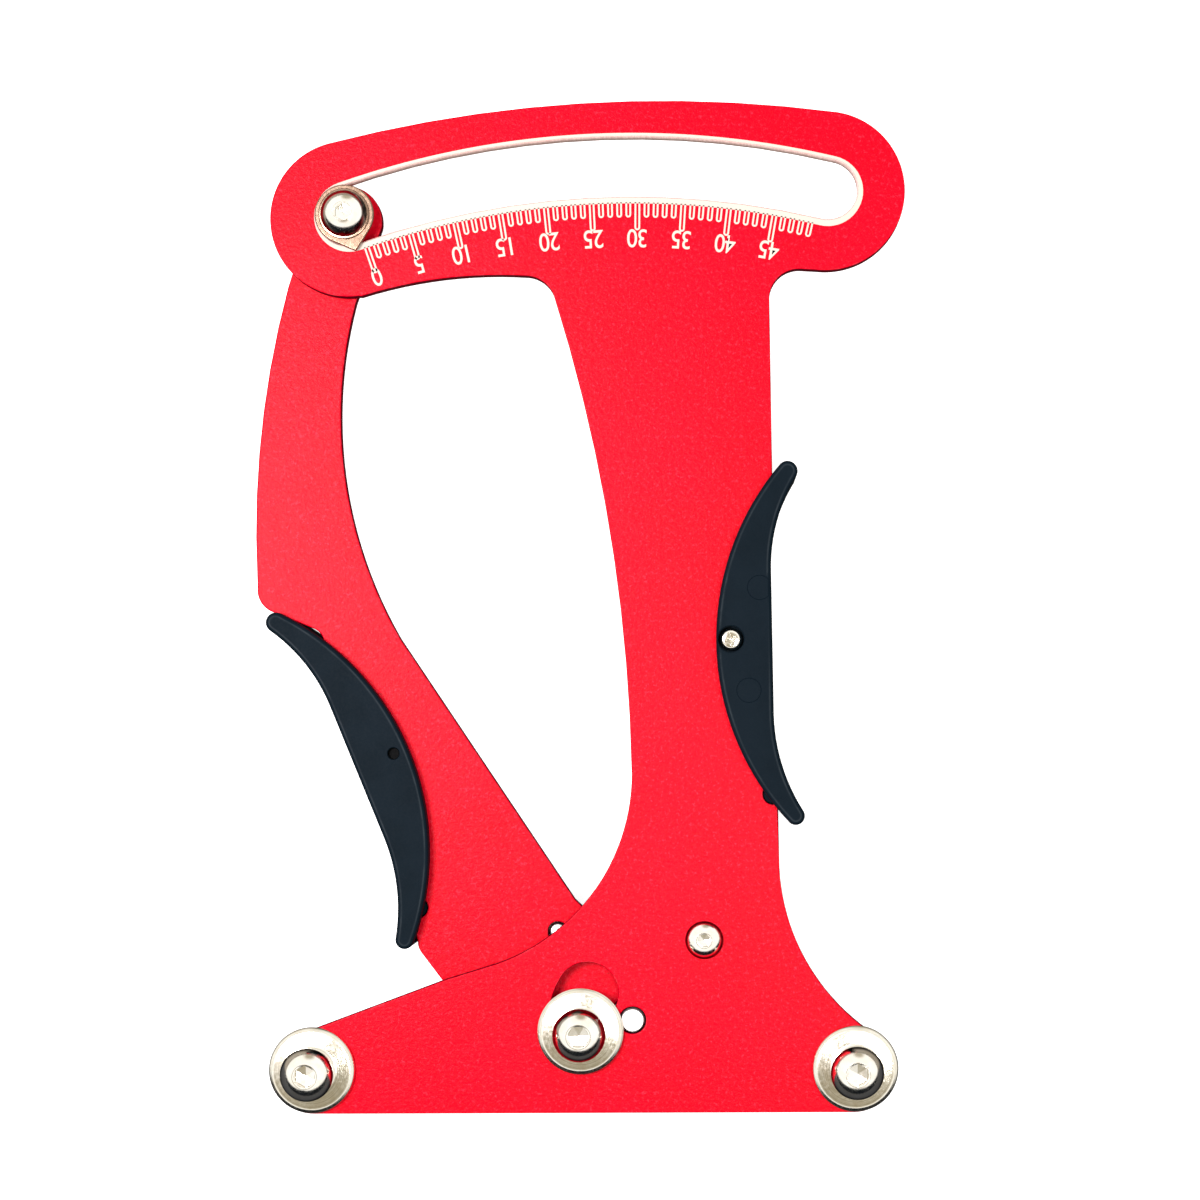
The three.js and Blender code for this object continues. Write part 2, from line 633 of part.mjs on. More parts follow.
const leftShells = gripShells(LEFT_GRIP, leverArm(ARM_BACK - 1, ARM_FRONT + 1),
  ARM_BACK, ARM_FRONT, false);
addPiece('left_grip_front', leftShells[0], BLACK_PLASTIC);
addPiece('left_grip_back', leftShells[1], BLACK_PLASTIC);
const leftScrew = addPiece('left_grip_screw', gripScrew(), NICKEL,
  gripPoint(LEFT_GRIP, GRIP_SCREW_PLACE.u, GRIP_SCREW_PLACE.v), GRIP_BACK + headSink);
leftScrew.rotation.x = Math.PI;

// The origin is below the middle of the bounding box, at the lowest point.
const leftmost = ARM_LEFT_EDGE.x - ARM_LEFT_EDGE.radius;
const rightmost = RIGHT_LOBE.x + RIGHT_LOBE.radius;
const topmost = TOP_EDGE.y + TOP_EDGE.radius;
meter.position.set(-(leftmost + rightmost) / 2, -(BASE_BOTTOM + topmost) / 2, -LOWEST);

const object = new THREE.Group();
object.add(meter);

export default object;
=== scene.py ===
"""Looks of a bicycle spoke tension meter: red plates, plated fasteners and black plastic grips.

Lengths in the tables below are in millimetres, in the pivot's frame: X and Y from the axis that the
lever arm turns on, Z from the front face of the body plate. point() turns them into metres in the
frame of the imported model.
"""
import json
import math

import bmesh
import bpy
import numpy as np
from mathutils import Matrix, Vector
from mathutils.kdtree import KDTree


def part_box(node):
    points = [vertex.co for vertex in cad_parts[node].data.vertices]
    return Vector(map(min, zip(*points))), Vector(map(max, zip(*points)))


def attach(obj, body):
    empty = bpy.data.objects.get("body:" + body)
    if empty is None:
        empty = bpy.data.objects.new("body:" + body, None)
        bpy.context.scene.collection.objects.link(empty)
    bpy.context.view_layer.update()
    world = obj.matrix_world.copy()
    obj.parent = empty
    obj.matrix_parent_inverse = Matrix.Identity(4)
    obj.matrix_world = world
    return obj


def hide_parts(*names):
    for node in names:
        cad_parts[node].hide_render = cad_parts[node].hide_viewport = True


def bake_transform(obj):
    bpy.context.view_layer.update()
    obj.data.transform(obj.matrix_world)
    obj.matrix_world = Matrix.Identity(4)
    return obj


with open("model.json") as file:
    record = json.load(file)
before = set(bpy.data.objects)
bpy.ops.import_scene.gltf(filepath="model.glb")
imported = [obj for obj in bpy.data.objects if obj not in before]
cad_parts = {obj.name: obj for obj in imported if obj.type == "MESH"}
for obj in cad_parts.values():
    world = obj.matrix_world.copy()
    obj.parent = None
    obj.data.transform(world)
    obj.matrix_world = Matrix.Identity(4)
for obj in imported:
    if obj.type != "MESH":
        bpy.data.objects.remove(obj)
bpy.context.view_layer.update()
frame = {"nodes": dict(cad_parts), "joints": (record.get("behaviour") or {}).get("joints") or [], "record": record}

MM = 0.001
BODY = "body"
LEVER = "lever"
PIVOT = Vector(frame["joints"][0]["pos_m"])
FRONT_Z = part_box("body_plate")[1].z

# ---------------------------------------------------------------- sizes that the looks need

EDGE_BREAK = 0.28  # rounding of the plates' edges
SCALE_TICKS = 50
SCALE_FIRST_ANGLE = 108.78  # degrees from +X, of the zero line
SCALE_STEP = -0.644
LABEL_EVERY = 5
LABEL_RADIUS = 156.6
LABEL_LOW_RISE = 0.8  # how much farther out the first figure stands
LABEL_HEIGHT = 3.75
TICK_TOP_RADIUS = 163.6
TICK_SHORT_RADIUS = 160.55
TICK_LONG_RADIUS = 158.0
TICK_WIDTH = 1.15
PRINT_LINE = 0.36
PRINT_THICKNESS = 0.012
BAND_RADIUS = 170.43
BAND_HALF_WIDTH = 7.05
GRIP_ROUNDING = 0.75
GRIP_LUG_RADIUS = 1.9
GRIP_MIDDLES = {"right": (31.43, 75.1), "left": (-57.9, 48.1)}
GRIP_CHORDS = {"right": (-0.016, 0.99987), "left": (-0.3766, 0.9264)}  # from the low end up
GRIP_LUGS = {"right": (-29.9, 3.6), "left": (-29.3, 3.8)}  # along the chord, and inwards
EJECTOR_MARKS = ((11.3, 5.6), (-9.1, 8.1))

# Button head screws: radius and height of the head, hexagon across flats, shank radius, pitch.
M6_BUTTON = (5.25, 3.3, 4.0, 2.9, 1.0)
M5_BUTTON = (4.6, 2.75, 3.0, 2.4, 0.8)
M4_BUTTON = (3.8, 2.2, 2.5, 1.9, 0.7)
M5_BORE = 2.7
NUT_CHAMFER = 0.62
WIRE_RADIUS = 1.1
SPRING_PIN_RADIUS = 2.5
SPRING_POST_RADIUS = 2.8


def point(x, y, z):
    """A place in the pivot's frame, in millimetres, as metres in the model's frame."""
    return Vector((PIVOT.x + x * MM, PIVOT.y + y * MM, FRONT_Z + z * MM))


def axis_of(node):
    """The middle of a round node, seen from above."""
    low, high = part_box(node)
    return Vector(((low.x + high.x) / 2, (low.y + high.y) / 2))


# ---------------------------------------------------------------- materials

class Tree:
    """A short way to write a node tree."""

    def __init__(self, owner):
        owner.use_nodes = True
        self.tree = owner.node_tree

    def add(self, kind, **values):
        node = self.tree.nodes.new(kind)
        for name, value in values.items():
            setattr(node, name, value)
        return node

    def feed(self, socket, value):
        if isinstance(value, bpy.types.NodeSocket):
            self.tree.links.new(value, socket)
        else:
            socket.default_value = value

    def ramp(self, value, low, high, to_low=0.0, to_high=1.0):
        node = self.add("ShaderNodeMapRange", interpolation_type="SMOOTHSTEP")
        self.feed(node.inputs["Value"], value)
        node.inputs["From Min"].default_value = low
        node.inputs["From Max"].default_value = high
        node.inputs["To Min"].default_value = to_low
        node.inputs["To Max"].default_value = to_high
        return node.outputs["Result"]

    def mix(self, factor, first, second):
        node = self.add("ShaderNodeMix", data_type="RGBA")
        self.feed(node.inputs["Factor"], factor)
        self.feed(node.inputs["A"], first)
        self.feed(node.inputs["B"], second)
        return node.outputs["Result"]

    def camera_ray(self):
        return self.add("ShaderNodeLightPath").outputs["Is Camera Ray"]


class Nodes(Tree):
    """A short way to write a material."""

    def __init__(self, name):
        self.material = bpy.data.materials.new(name)
        super().__init__(self.material)
        self.shader = self.tree.nodes["Principled BSDF"]
        self.place = self.add("ShaderNodeTexCoord").outputs["Object"]

    def noise(self, size_mm, detail=3.0, roughness=0.55, stretch=(1, 1, 1)):
        mapping = self.add("ShaderNodeMapping")
        self.feed(mapping.inputs["Vector"], self.place)
        mapping.inputs["Scale"].default_value = [s / (size_mm * MM) for s in stretch]
        node = self.add("ShaderNodeTexNoise")
        self.feed(node.inputs["Vector"], mapping.outputs["Vector"])
        node.inputs["Scale"].default_value = 1.0
        node.inputs["Detail"].default_value = detail
        node.inputs["Roughness"].default_value = roughness
        return node.outputs["Fac"]

    def math(self, operation, first, second):
        node = self.add("ShaderNodeMath", operation=operation)
        self.feed(node.inputs[0], first)
        self.feed(node.inputs[1], second)
        return node.outputs[0]

    def bump(self, height, depth_mm):
        node = self.add("ShaderNodeBump")
        node.inputs["Strength"].default_value = 1.0
        node.inputs["Distance"].default_value = depth_mm * MM
        self.feed(node.inputs["Height"], height)
        return node.outputs["Normal"]

    def attribute(self, name):
        return self.add("ShaderNodeAttribute", attribute_name=name).outputs["Fac"]

    def set(self, **values):
        for name, value in values.items():
            self.feed(self.shader.inputs[name.replace("_", " ")], value)
        return self.material


def rgb(red, green, blue):
    return (red, green, blue, 1.0)


def red_coating():
    """Bead-blasted aluminium with a bright red coating: painted shade darkens the cut sides, and the edge
    roundings are paler, partly from wear and partly a painted highlight.
    """
    n = Nodes("red_coating")
    patches = n.ramp(n.noise(22, 2), 0.35, 0.65)
    grain = n.noise(0.55, 3, 0.7)
    speck = n.ramp(n.noise(0.8, 3, 0.75), 0.54, 0.68)
    pit = n.ramp(n.noise(0.8, 3, 0.7), 0.3, 0.46, 1.0, 0.0)
    colour = n.mix(patches, rgb(0.46, 0.0, 0.0074), rgb(0.5, 0.0, 0.0086))
    colour = n.mix(n.math("MULTIPLY", speck, 0.5), colour, rgb(0.6, 0.022, 0.045))
    colour = n.mix(n.math("MULTIPLY", pit, 0.45), colour, rgb(0.2, 0.0, 0.003))
    # Painted shade: the walls, where the side attribute is high, turn dark red as if they lay in shade.
    cut = n.ramp(n.attribute("side"), 0.15, 0.9)
    colour = n.mix(cut, colour, rgb(0.09, 0.0, 0.006))
    # Paler pink on the edge roundings: partly wear, partly a painted edge highlight.
    wear_and_highlight = n.math("MULTIPLY", n.attribute("edge"), n.ramp(n.noise(3, 3), 0.45, 0.7, 0.0, 0.3))
    colour = n.mix(wear_and_highlight, colour, rgb(0.6, 0.05, 0.07))
    blasted = n.bump(grain, 0.08)
    return n.set(
        Base_Color=colour,
        Metallic=0.0,
        Roughness=n.ramp(grain, 0.3, 0.7, 0.5, 0.62),
        Coat_Weight=0.095,
        Coat_Roughness=0.3,
        Specular_IOR_Level=0.0,
        Normal=blasted,
        Coat_Normal=blasted,
    )


def bare_aluminium():
    """The machined walls of the arc slot."""
    n = Nodes("bare_aluminium")
    cutter = n.noise(0.35, 2, 0.5, (1, 1, 0.06))
    colour = n.mix(n.ramp(cutter, 0.3, 0.7), rgb(0.56, 0.37, 0.335), rgb(0.66, 0.48, 0.44))
    return n.set(Base_Color=colour, Metallic=0.15, Roughness=n.ramp(cutter, 0.2, 0.8, 0.4, 0.55),
                 Normal=n.bump(cutter, 0.01))


def print_white():
    """The burnt-in lines and figures of the scale."""
    n = Nodes("print_white")
    speck = n.noise(0.12, 3, 0.6)
    colour = n.mix(n.ramp(speck, 0.35, 0.7), rgb(0.39, 0.33, 0.275), rgb(0.43, 0.37, 0.315))
    return n.set(Base_Color=colour, Metallic=0.0, Roughness=n.ramp(speck, 0.3, 0.7, 0.5, 0.7),
                 Normal=n.bump(speck, 0.01))


def plated(name, light, dark, roughness, ring_mm=0.0, centre=None):
    """Nickel plate with a faint warm tone and painted shade round the rims of the heads; turned pieces show fine
    rings about their axis."""
    n = Nodes(name)
    cloud = n.ramp(n.noise(2.5, 3), 0.35, 0.65)
    scuff = n.noise(0.6, 4, 0.65)
    colour = n.mix(cloud, rgb(*light), rgb(*dark))
    height = scuff
    depth = 0.003
    if ring_mm:
        offset = n.add("ShaderNodeVectorMath", operation="SUBTRACT")
        n.feed(offset.inputs[0], n.place)
        offset.inputs[1].default_value = centre
        flat = n.add("ShaderNodeVectorMath", operation="MULTIPLY")
        n.feed(flat.inputs[0], offset.outputs[0])
        flat.inputs[1].default_value = (1, 1, 0)
        length = n.add("ShaderNodeVectorMath", operation="LENGTH")
        n.feed(length.inputs[0], flat.outputs[0])
        rings = n.add("ShaderNodeTexNoise", noise_dimensions="1D")
        n.feed(rings.inputs["W"], n.math("MULTIPLY", length.outputs["Value"], 1 / (ring_mm * MM)))
        rings.inputs["Scale"].default_value = 1.0
        rings.inputs["Detail"].default_value = 2.0
        height = rings.outputs["Fac"]
        groove = rgb(*[0.62 * t for t in dark])
        colour = n.mix(n.ramp(height, 0.46, 0.66, 0.0, 0.55), colour, groove)
        depth = 0.02
    # Painted shade: the rims of the screw heads turn near black.
    painted_rim_shade = n.math("MULTIPLY", n.attribute("rim"), n.ramp(n.noise(1.6, 2), 0.25, 0.6, 0.85, 1.0))
    colour = n.mix(painted_rim_shade, colour, rgb(0.05, 0.042, 0.04))
    return n.set(Base_Color=colour, Metallic=1.0,
                 Roughness=n.ramp(scuff, 0.3, 0.7, roughness, roughness + 0.08),
                 Normal=n.bump(height, depth))


def moulded_plastic():
    """Black glass-filled nylon from a spark-eroded mould, a little glossier along its edges, with a painted
    highlight line on their roundings.
    """
    n = Nodes("moulded_plastic")
    texture = n.noise(0.3, 4, 0.65)
    cloud = n.ramp(n.noise(9, 3), 0.35, 0.65)
    colour = n.mix(cloud, rgb(0.0014, 0.0042, 0.007), rgb(0.002, 0.0052, 0.0085))
    # Painted highlight: a lighter grey line along the edge roundings; the same mask also lowers the roughness
    # there.
    polish_and_highlight_line = n.math("MULTIPLY", n.attribute("edge"), n.ramp(n.noise(4, 3), 0.3, 0.7, 0.4, 1.0))
    colour = n.mix(polish_and_highlight_line, colour, rgb(0.014, 0.019, 0.023))
    # Painted shade: the plastic turns near black inside the blind screw holes (pit attribute).
    colour = n.mix(n.attribute("pit"), colour, rgb(0.0003, 0.0004, 0.0005))
    matt = n.ramp(texture, 0.3, 0.7, 0.46, 0.6)
    rough = n.math("SUBTRACT", matt, n.math("MULTIPLY", polish_and_highlight_line, 0.1))
    return n.set(Base_Color=colour, Metallic=0.0, Roughness=rough, Specular_IOR_Level=0.03,
                 Normal=n.bump(texture, 0.02))


def dark_steel(name, tone, roughness):
    """Oiled spring wire."""
    n = Nodes(name)
    streak = n.noise(0.5, 4, 0.6)
    colour = n.mix(n.ramp(streak, 0.3, 0.7), rgb(*[t * 0.8 for t in tone]), rgb(*tone))
    return n.set(Base_Color=colour, Metallic=1.0,
                 Roughness=n.ramp(streak, 0.3, 0.7, roughness, roughness + 0.14),
                 Normal=n.bump(streak, 0.006))


NICKEL_LIGHT = (0.88, 0.86, 0.8)
NICKEL_DARK = (0.84, 0.79, 0.7)
SPOOL_LIGHT = (0.8, 0.775, 0.69)
SPOOL_DARK = (0.74, 0.69, 0.58)
RED = red_coating()
BARE = bare_aluminium()
WHITE = print_white()
PLASTIC = moulded_plastic()
SCREW = plated("screw_plate", NICKEL_LIGHT, NICKEL_DARK, 0.1)
SAWN_END = plated("sawn_end", (0.72, 0.71, 0.69), (0.46, 0.45, 0.43), 0.42)
NUT = plated("nut_plate", (0.8, 0.76, 0.69), (0.68, 0.63, 0.56), 0.2)
BUSH = plated("bush_steel", (0.7, 0.69, 0.67), (0.56, 0.55, 0.53), 0.24)
POINTER_PLATE = plated("pointer_nickel", (0.28, 0.19, 0.135), (0.22, 0.145, 0.1), 0.2)
WIRE = dark_steel("spring_wire", (0.42, 0.42, 0.44), 0.26)


# ---------------------------------------------------------------- meshes

def add_piece(name, mesh, materials, body, node=None, slot=None):
    """A finished mesh as a piece that rides on a body, and stands for a CAD node if there is one."""
    for material in materials:
        mesh.materials.append(material)
    piece = bpy.data.objects.new(name, mesh)
    bpy.context.scene.collection.objects.link(piece)
    if body:
        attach(piece, body)
    if node:
        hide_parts(node)
        slot = slot or slot_of(node)
    return piece


def slot_of(node):
    return next(s["material_slot"] for s in frame["record"]["subparts"] if s["node"] == node)


def body_of(node):
    bodies = frame["record"]["behaviour"]["bodies"]
    return next(name for name, nodes in bodies.items() if node in nodes)


def mesh_from(bm, name, sharp_degrees=35.0):
    """The mesh of a bmesh, smooth except across edges sharper than the angle."""
    bmesh.ops.recalc_face_normals(bm, faces=bm.faces)
    for face in bm.faces:
        face.smooth = True
    for edge in bm.edges:
        if len(edge.link_faces) == 2 and edge.calc_face_angle(0) > math.radians(sharp_degrees):
            edge.smooth = False
    mesh = bpy.data.meshes.new(name)
    bm.to_mesh(mesh)
    bm.free()
    return mesh


def boolean(mesh, tool, operation="DIFFERENCE"):
    """mesh cut by, or kept inside, the tool mesh. Both meshes are used up."""
    base = bpy.data.objects.new("boolean_base", mesh)
    other = bpy.data.objects.new("boolean_tool", tool)
    for item in (base, other):
        bpy.context.scene.collection.objects.link(item)
    modifier = base.modifiers.new("cut", "BOOLEAN")
    modifier.operation = operation
    modifier.solver = "EXACT"
    modifier.object = other
    graph = bpy.context.evaluated_depsgraph_get()
    result = bpy.data.meshes.new_from_object(base.evaluated_get(graph))
    for item in (base, other):
        old = item.data
        bpy.data.objects.remove(item)
        bpy.data.meshes.remove(old)
    return result


def sharpened(mesh, name, sharp_degrees=35.0):
    bm = bmesh.new()
    bm.from_mesh(mesh)
    bpy.data.meshes.remove(mesh)
    bmesh.ops.remove_doubles(bm, verts=bm.verts, dist=1e-7)
    bmesh.ops.dissolve_degenerate(bm, edges=bm.edges, dist=1e-7)
    return mesh_from(bm, name, sharp_degrees)


# ---------------------------------------------------------------- outlines from the frame

def section(node, z):
    """The closed outlines of a CAD node at a height, the longest first, as (n, 2) arrays."""
    bm = bmesh.new()
    bm.from_mesh(frame["nodes"][node].data)
    bmesh.ops.remove_doubles(bm, verts=bm.verts, dist=2e-6)
    parts = bm.verts[:] + bm.edges[:] + bm.faces[:]
    cut = bmesh.ops.bisect_plane(bm, geom=parts, plane_co=(0, 0, z), plane_no=(0, 0, 1))
    edges = [e for e in cut["geom_cut"] if isinstance(e, bmesh.types.BMEdge)]
    neighbours = {}
    for edge in edges:
        a, b = edge.verts
        neighbours.setdefault(a, []).append(b)
        neighbours.setdefault(b, []).append(a)
    loops = []
    unused = set(neighbours)
    while unused:
        start = min(unused, key=lambda v: (v.co.x, v.co.y))
        loop = [start]
        unused.discard(start)
        following = min(neighbours[start], key=lambda v: v.index)
        while following is not None:
            loop.append(following)
            unused.discard(following)
            following = next((v for v in neighbours[following] if v in unused), None)
        loops.append(np.array([(v.co.x, v.co.y) for v in loop]))
    bm.free()
    loops = [without_flat_points(loop) for loop in loops if len(loop) > 2]
    return sorted(loops, key=lambda p: -np.linalg.norm(np.roll(p, -1, 0) - p, axis=1).sum())


def turns(loop):
    """The turn at each point of a closed outline, in radians, positive to the left."""
    ahead = np.roll(loop, -1, 0) - loop
    behind = loop - np.roll(loop, 1, 0)
    cross = behind[:, 0] * ahead[:, 1] - behind[:, 1] * ahead[:, 0]
    dot = (behind * ahead).sum(1)
    return np.arctan2(cross, dot)


def without_flat_points(loop, limit=math.radians(0.15)):
    """The outline without the points that lie on a straight stretch."""
    return loop[np.abs(turns(loop)) > limit]


def signed_area(loop):
    after = np.roll(loop, -1, 0)
    return 0.5 * (loop[:, 0] * after[:, 1] - loop[:, 1] * after[:, 0]).sum()


def rounded_arcs(loop, step=math.radians(3.0)):
    """The outline with its arcs restored from their equal chords."""
    turn = turns(loop)
    length = np.linalg.norm(np.roll(loop, -1, 0) - loop, axis=1)
    count = len(loop)
    points = []
    for i in range(count):
        here, after = loop[i], loop[(i + 1) % count]
        points.append(here)
        angle = 0.0
        if abs(length[i] - length[(i + 1) % count]) < 0.02 * length[i]:
            angle = turn[(i + 1) % count]
        elif abs(length[i] - length[i - 1]) < 0.02 * length[i]:
            angle = turn[i]
        pieces = math.ceil(abs(angle) / step)
        if pieces < 2 or abs(angle) > math.radians(50):
            continue
        chord = after - here
        side = np.array([chord[1], -chord[0]]) / length[i]
        for k in range(1, pieces):
            along = (k / pieces - 0.5) * angle
            radius = length[i] / (2 * math.sin(angle / 2))
            forward = 0.5 + radius * math.sin(along) / length[i]
            bulge = radius * (math.cos(along) - math.cos(angle / 2))
            points.append(here + chord * forward + side * bulge)
    refined = np.array(points)
    return np.clip(refined, loop.min(0), loop.max(0))


def shifted(loop, distance):
    """The outline moved to its left by a distance."""
    ahead = np.roll(loop, -1, 0) - loop
    behind = loop - np.roll(loop, 1, 0)
    ahead /= np.linalg.norm(ahead, axis=1)[:, None]
    behind /= np.linalg.norm(behind, axis=1)[:, None]
    tangent = ahead + behind
    tangent /= np.linalg.norm(tangent, axis=1)[:, None]
    stretch = np.maximum((tangent * ahead).sum(1), 0.5)
    normal = np.stack([-tangent[:, 1], tangent[:, 0]], 1)
    return loop + normal * (distance / stretch)[:, None]


def facing(loop, anticlockwise):
    return loop if (signed_area(loop) > 0) == anticlockwise else loop[::-1]


def ring_between(bm, lower, upper, material=0):
    count = len(lower)
    for i in range(count):
        j = (i + 1) % count
        face = bm.faces.new((lower[i], lower[j], upper[j], upper[i]))
        face.material_index = material


def plate_mesh(name, loops, z_low, z_high, low_rim, high_rim, steps=3, rims=None, line=0.0):
    """A flat plate with holes, from outlines with the material on their left, with rounded edges.
    rims gives an outline its own (rounding, steps, material). The points of the roundings carry an attribute,
    edge, that the materials read for edge abrasion and a painted edge highlight; line moves it to a narrow line
    inside them.
    A second attribute, side, is 1 on the walls and 0 on the flat faces."""
    bm = bmesh.new()
    wear_and_highlight_layer = bm.verts.layers.float.new("edge")
    side = bm.verts.layers.float.new("side")
    caps = []
    for number, loop in enumerate(loops):
        own = (rims or {}).get(number)
        count, material = (own[1], own[2]) if own else (steps, 0)
        low, high = (own[0], own[0]) if own else (low_rim, high_rim)
        levels = []
        for k in range(count, -1, -1):
            angle = math.pi / 2 * k / count
            levels.append((low * (1 - math.cos(angle)), z_low + low * (1 - math.sin(angle)), k))
        for k in range(count + 1):
            angle = math.pi / 2 * k / count
            levels.append((high * (1 - math.cos(angle)), z_high - high * (1 - math.sin(angle)), k))
        if line:
            levels = [(low + line, z_low, -1)] + levels + [(high + line, z_high, -1)]
        rings = []
        for inset, z, k in levels:
            ring = [bm.verts.new((x, y, z)) for x, y in shifted(loop, inset)]
            wear_and_highlight = k == count if line else 0 < k < count
            for vert in ring:
                vert[wear_and_highlight_layer] = 1.0 if wear_and_highlight else 0.0
                vert[side] = 1.0 - k / count if k >= 0 else 0.0
            rings.append(ring)
        for lower, upper in zip(rings, rings[1:]):
            ring_between(bm, lower, upper, material)
        caps.append((rings[0], rings[-1]))
    rim_edges = []
    for end in (0, 1):
        edges = []
        for ends in caps:
            ring = ends[end]
            for i, vert in enumerate(ring):
                edges.append(bm.edges.get((vert, ring[(i + 1) % len(ring)])))
        bmesh.ops.triangle_fill(bm, use_beauty=True, use_dissolve=False, edges=edges)
        rim_edges += edges
    bmesh.ops.recalc_face_normals(bm, faces=bm.faces)
    for face in bm.faces:
        face.smooth = True
    if not line:
        for edge in rim_edges:
            edge.smooth = False
    mesh = bpy.data.meshes.new(name)
    bm.to_mesh(mesh)
    bm.free()
    return mesh


# ---------------------------------------------------------------- turned and cut fasteners

def rounded_profile(corners, steps=4):
    """A half section from (radius, z, rounding) corners, each corner rounded where it says so."""
    points = []
    for i, (radius, z, rounding) in enumerate(corners):
        here = np.array([radius, z], float)
        if not rounding or i in (0, len(corners) - 1):
            points.append(here)
            continue
        before = np.array(corners[i - 1][:2], float) - here
        after = np.array(corners[i + 1][:2], float) - here
        reach = min(rounding, 0.49 * np.linalg.norm(before), 0.49 * np.linalg.norm(after))
        start = here + before / np.linalg.norm(before) * reach
        end = here + after / np.linalg.norm(after) * reach
        for k in range(steps + 1):
            t = k / steps
            points.append(start * (1 - t) ** 2 + here * 2 * t * (1 - t) + end * t * t)
    return points


def turned_mesh(name, profile, centre, base_z, segments=96, closed=False, sharp_degrees=35.0):
    """A half section in millimetres turned about a vertical axis."""
    bm = bmesh.new()
    columns = []
    for i in range(segments):
        angle = 2 * math.pi * i / segments
        column = []
        for radius, z in profile:
            if radius < 1e-6 and columns:
                column.append(columns[0][len(column)])
            else:
                column.append(bm.verts.new((
                    centre.x + radius * MM * math.cos(angle),
                    centre.y + radius * MM * math.sin(angle),
                    base_z + z * MM)))
        columns.append(column)
    last = len(profile) if closed else len(profile) - 1
    for i in range(segments):
        a, b = columns[i], columns[(i + 1) % segments]
        for k in range(last):
            m = (k + 1) % len(profile)
            corners = []
            for vert in (a[k], b[k], b[m], a[m]):
                if vert not in corners:
                    corners.append(vert)
            if len(corners) > 2:
                bm.faces.new(corners)
    return mesh_from(bm, name, sharp_degrees)


def hexagon(bm, across_flats, centre, z, turn_degrees):
    """The six corners of a hexagon, as new vertices."""
    radius = across_flats / math.sqrt(3) * MM
    corners = []
    for i in range(6):
        angle = 2 * math.pi * i / 6 + math.radians(turn_degrees)
        place = (centre.x + radius * math.cos(angle), centre.y + radius * math.sin(angle), z)
        corners.append(bm.verts.new(place))
    return corners


def prism_mesh(name, across_flats, centre, z_low, z_high, turn_degrees=0.0):
    """An upright hexagonal prism."""
    bm = bmesh.new()
    lower, upper = [hexagon(bm, across_flats, centre, z, turn_degrees) for z in (z_low, z_high)]
    ring_between(bm, lower, upper)
    bm.faces.new(lower[::-1])
    bm.faces.new(upper)
    return mesh_from(bm, name)


def pit_mesh(name, across_flats, centre, z, depth, turn_degrees):
    """The shallow six-sided point that a broach leaves at the bottom of a socket."""
    bm = bmesh.new()
    ring = hexagon(bm, across_flats, centre, z + 0.01 * MM, turn_degrees)
    low = bm.verts.new((centre.x, centre.y, z - depth))
    high = bm.verts.new((centre.x, centre.y, z + depth))
    for i in range(6):
        bm.faces.new((ring[i], ring[(i + 1) % 6], high))
        bm.faces.new((ring[(i + 1) % 6], ring[i], low))
    return mesh_from(bm, name)


def thread_profile(radius, z_low, z_high, pitch, depth):
    """A row of thread crests down a shank, from its tip up."""
    points = []
    z = z_low
    while z + pitch <= z_high:
        points.append((radius - depth, z))
        points.append((radius, z + pitch * 0.4))
        points.append((radius, z + pitch * 0.6))
        z += pitch
    points.append((radius - depth, z))
    return points


def button_profile(head, height, flat, steps=14):
    """The dome of a socket button head, from its rim up to its flat top: part of a sphere."""
    rim = 0.1 * height
    middle = (flat ** 2 + height ** 2 - head ** 2 - rim ** 2) / (2 * (height - rim))
    radius = math.hypot(head, rim - middle)
    first = math.atan2(rim - middle, head)
    last = math.atan2(height - middle, flat)
    points = [(head - 0.1, 0.0), (head, 0.08), (head, rim - 0.05)]
    for i in range(steps + 1):
        angle = first + (last - first) * i / steps
        points.append((radius * math.cos(angle), middle + radius * math.sin(angle)))
    return points


def button_screw(node, sizes, turn_degrees, shade_from=0.9):
    """A button head screw with a chamfered hexagon socket and a threaded shank. Painted shade darkens the plating
    from a given fraction of the head's radius outwards, the last argument."""
    head, height, socket, shank, pitch = sizes
    low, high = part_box(node)
    centre = axis_of(node)
    top = high.z
    seat = top - height * MM
    length = (seat - low.z) / MM
    flat = socket / math.sqrt(3) + 0.16
    thread = thread_profile(shank, 0.5 - length, -2.5, pitch, 0.55 * pitch)
    profile = [(0, -length), (shank - 0.75 * pitch, -length)]
    profile += thread
    profile += [(shank - 0.1, -2.2), (shank - 0.1, 0.0)]
    profile += button_profile(head, height, flat)
    profile += [(0, height)]
    mesh = turned_mesh(node, profile, centre, seat, 96)
    depth = 0.62 * height * MM
    mesh = boolean(mesh, prism_mesh("socket", socket, centre, top - depth, top + MM, turn_degrees))
    corner = socket / math.sqrt(3)
    mouth = [(0, -0.16), (corner - 0.22, -0.16), (corner + 0.12, 0.04), (0, 0.04)]
    mesh = boolean(mesh, turned_mesh("mouth", mouth, centre, top, 64))
    pit = pit_mesh("pit", 0.97 * socket, centre, top - depth, 0.23 * corner * MM, turn_degrees)
    mesh = sharpened(boolean(mesh, pit), node, 10)
    # Painted shade: the rim attribute darkens the plating near the edge of the head.
    painted_rim_shade_values = mesh.attributes.new("rim", "FLOAT", "POINT")
    for vert in mesh.vertices:
        radius = (vert.co.xy - centre).length / (head * MM)
        painted_rim_shade_values.data[vert.index].value = min(1.0, max(0.0, (radius - shade_from) / 0.05))
    return add_piece(node + "_fine", mesh, [SCREW], body_of(node), node)


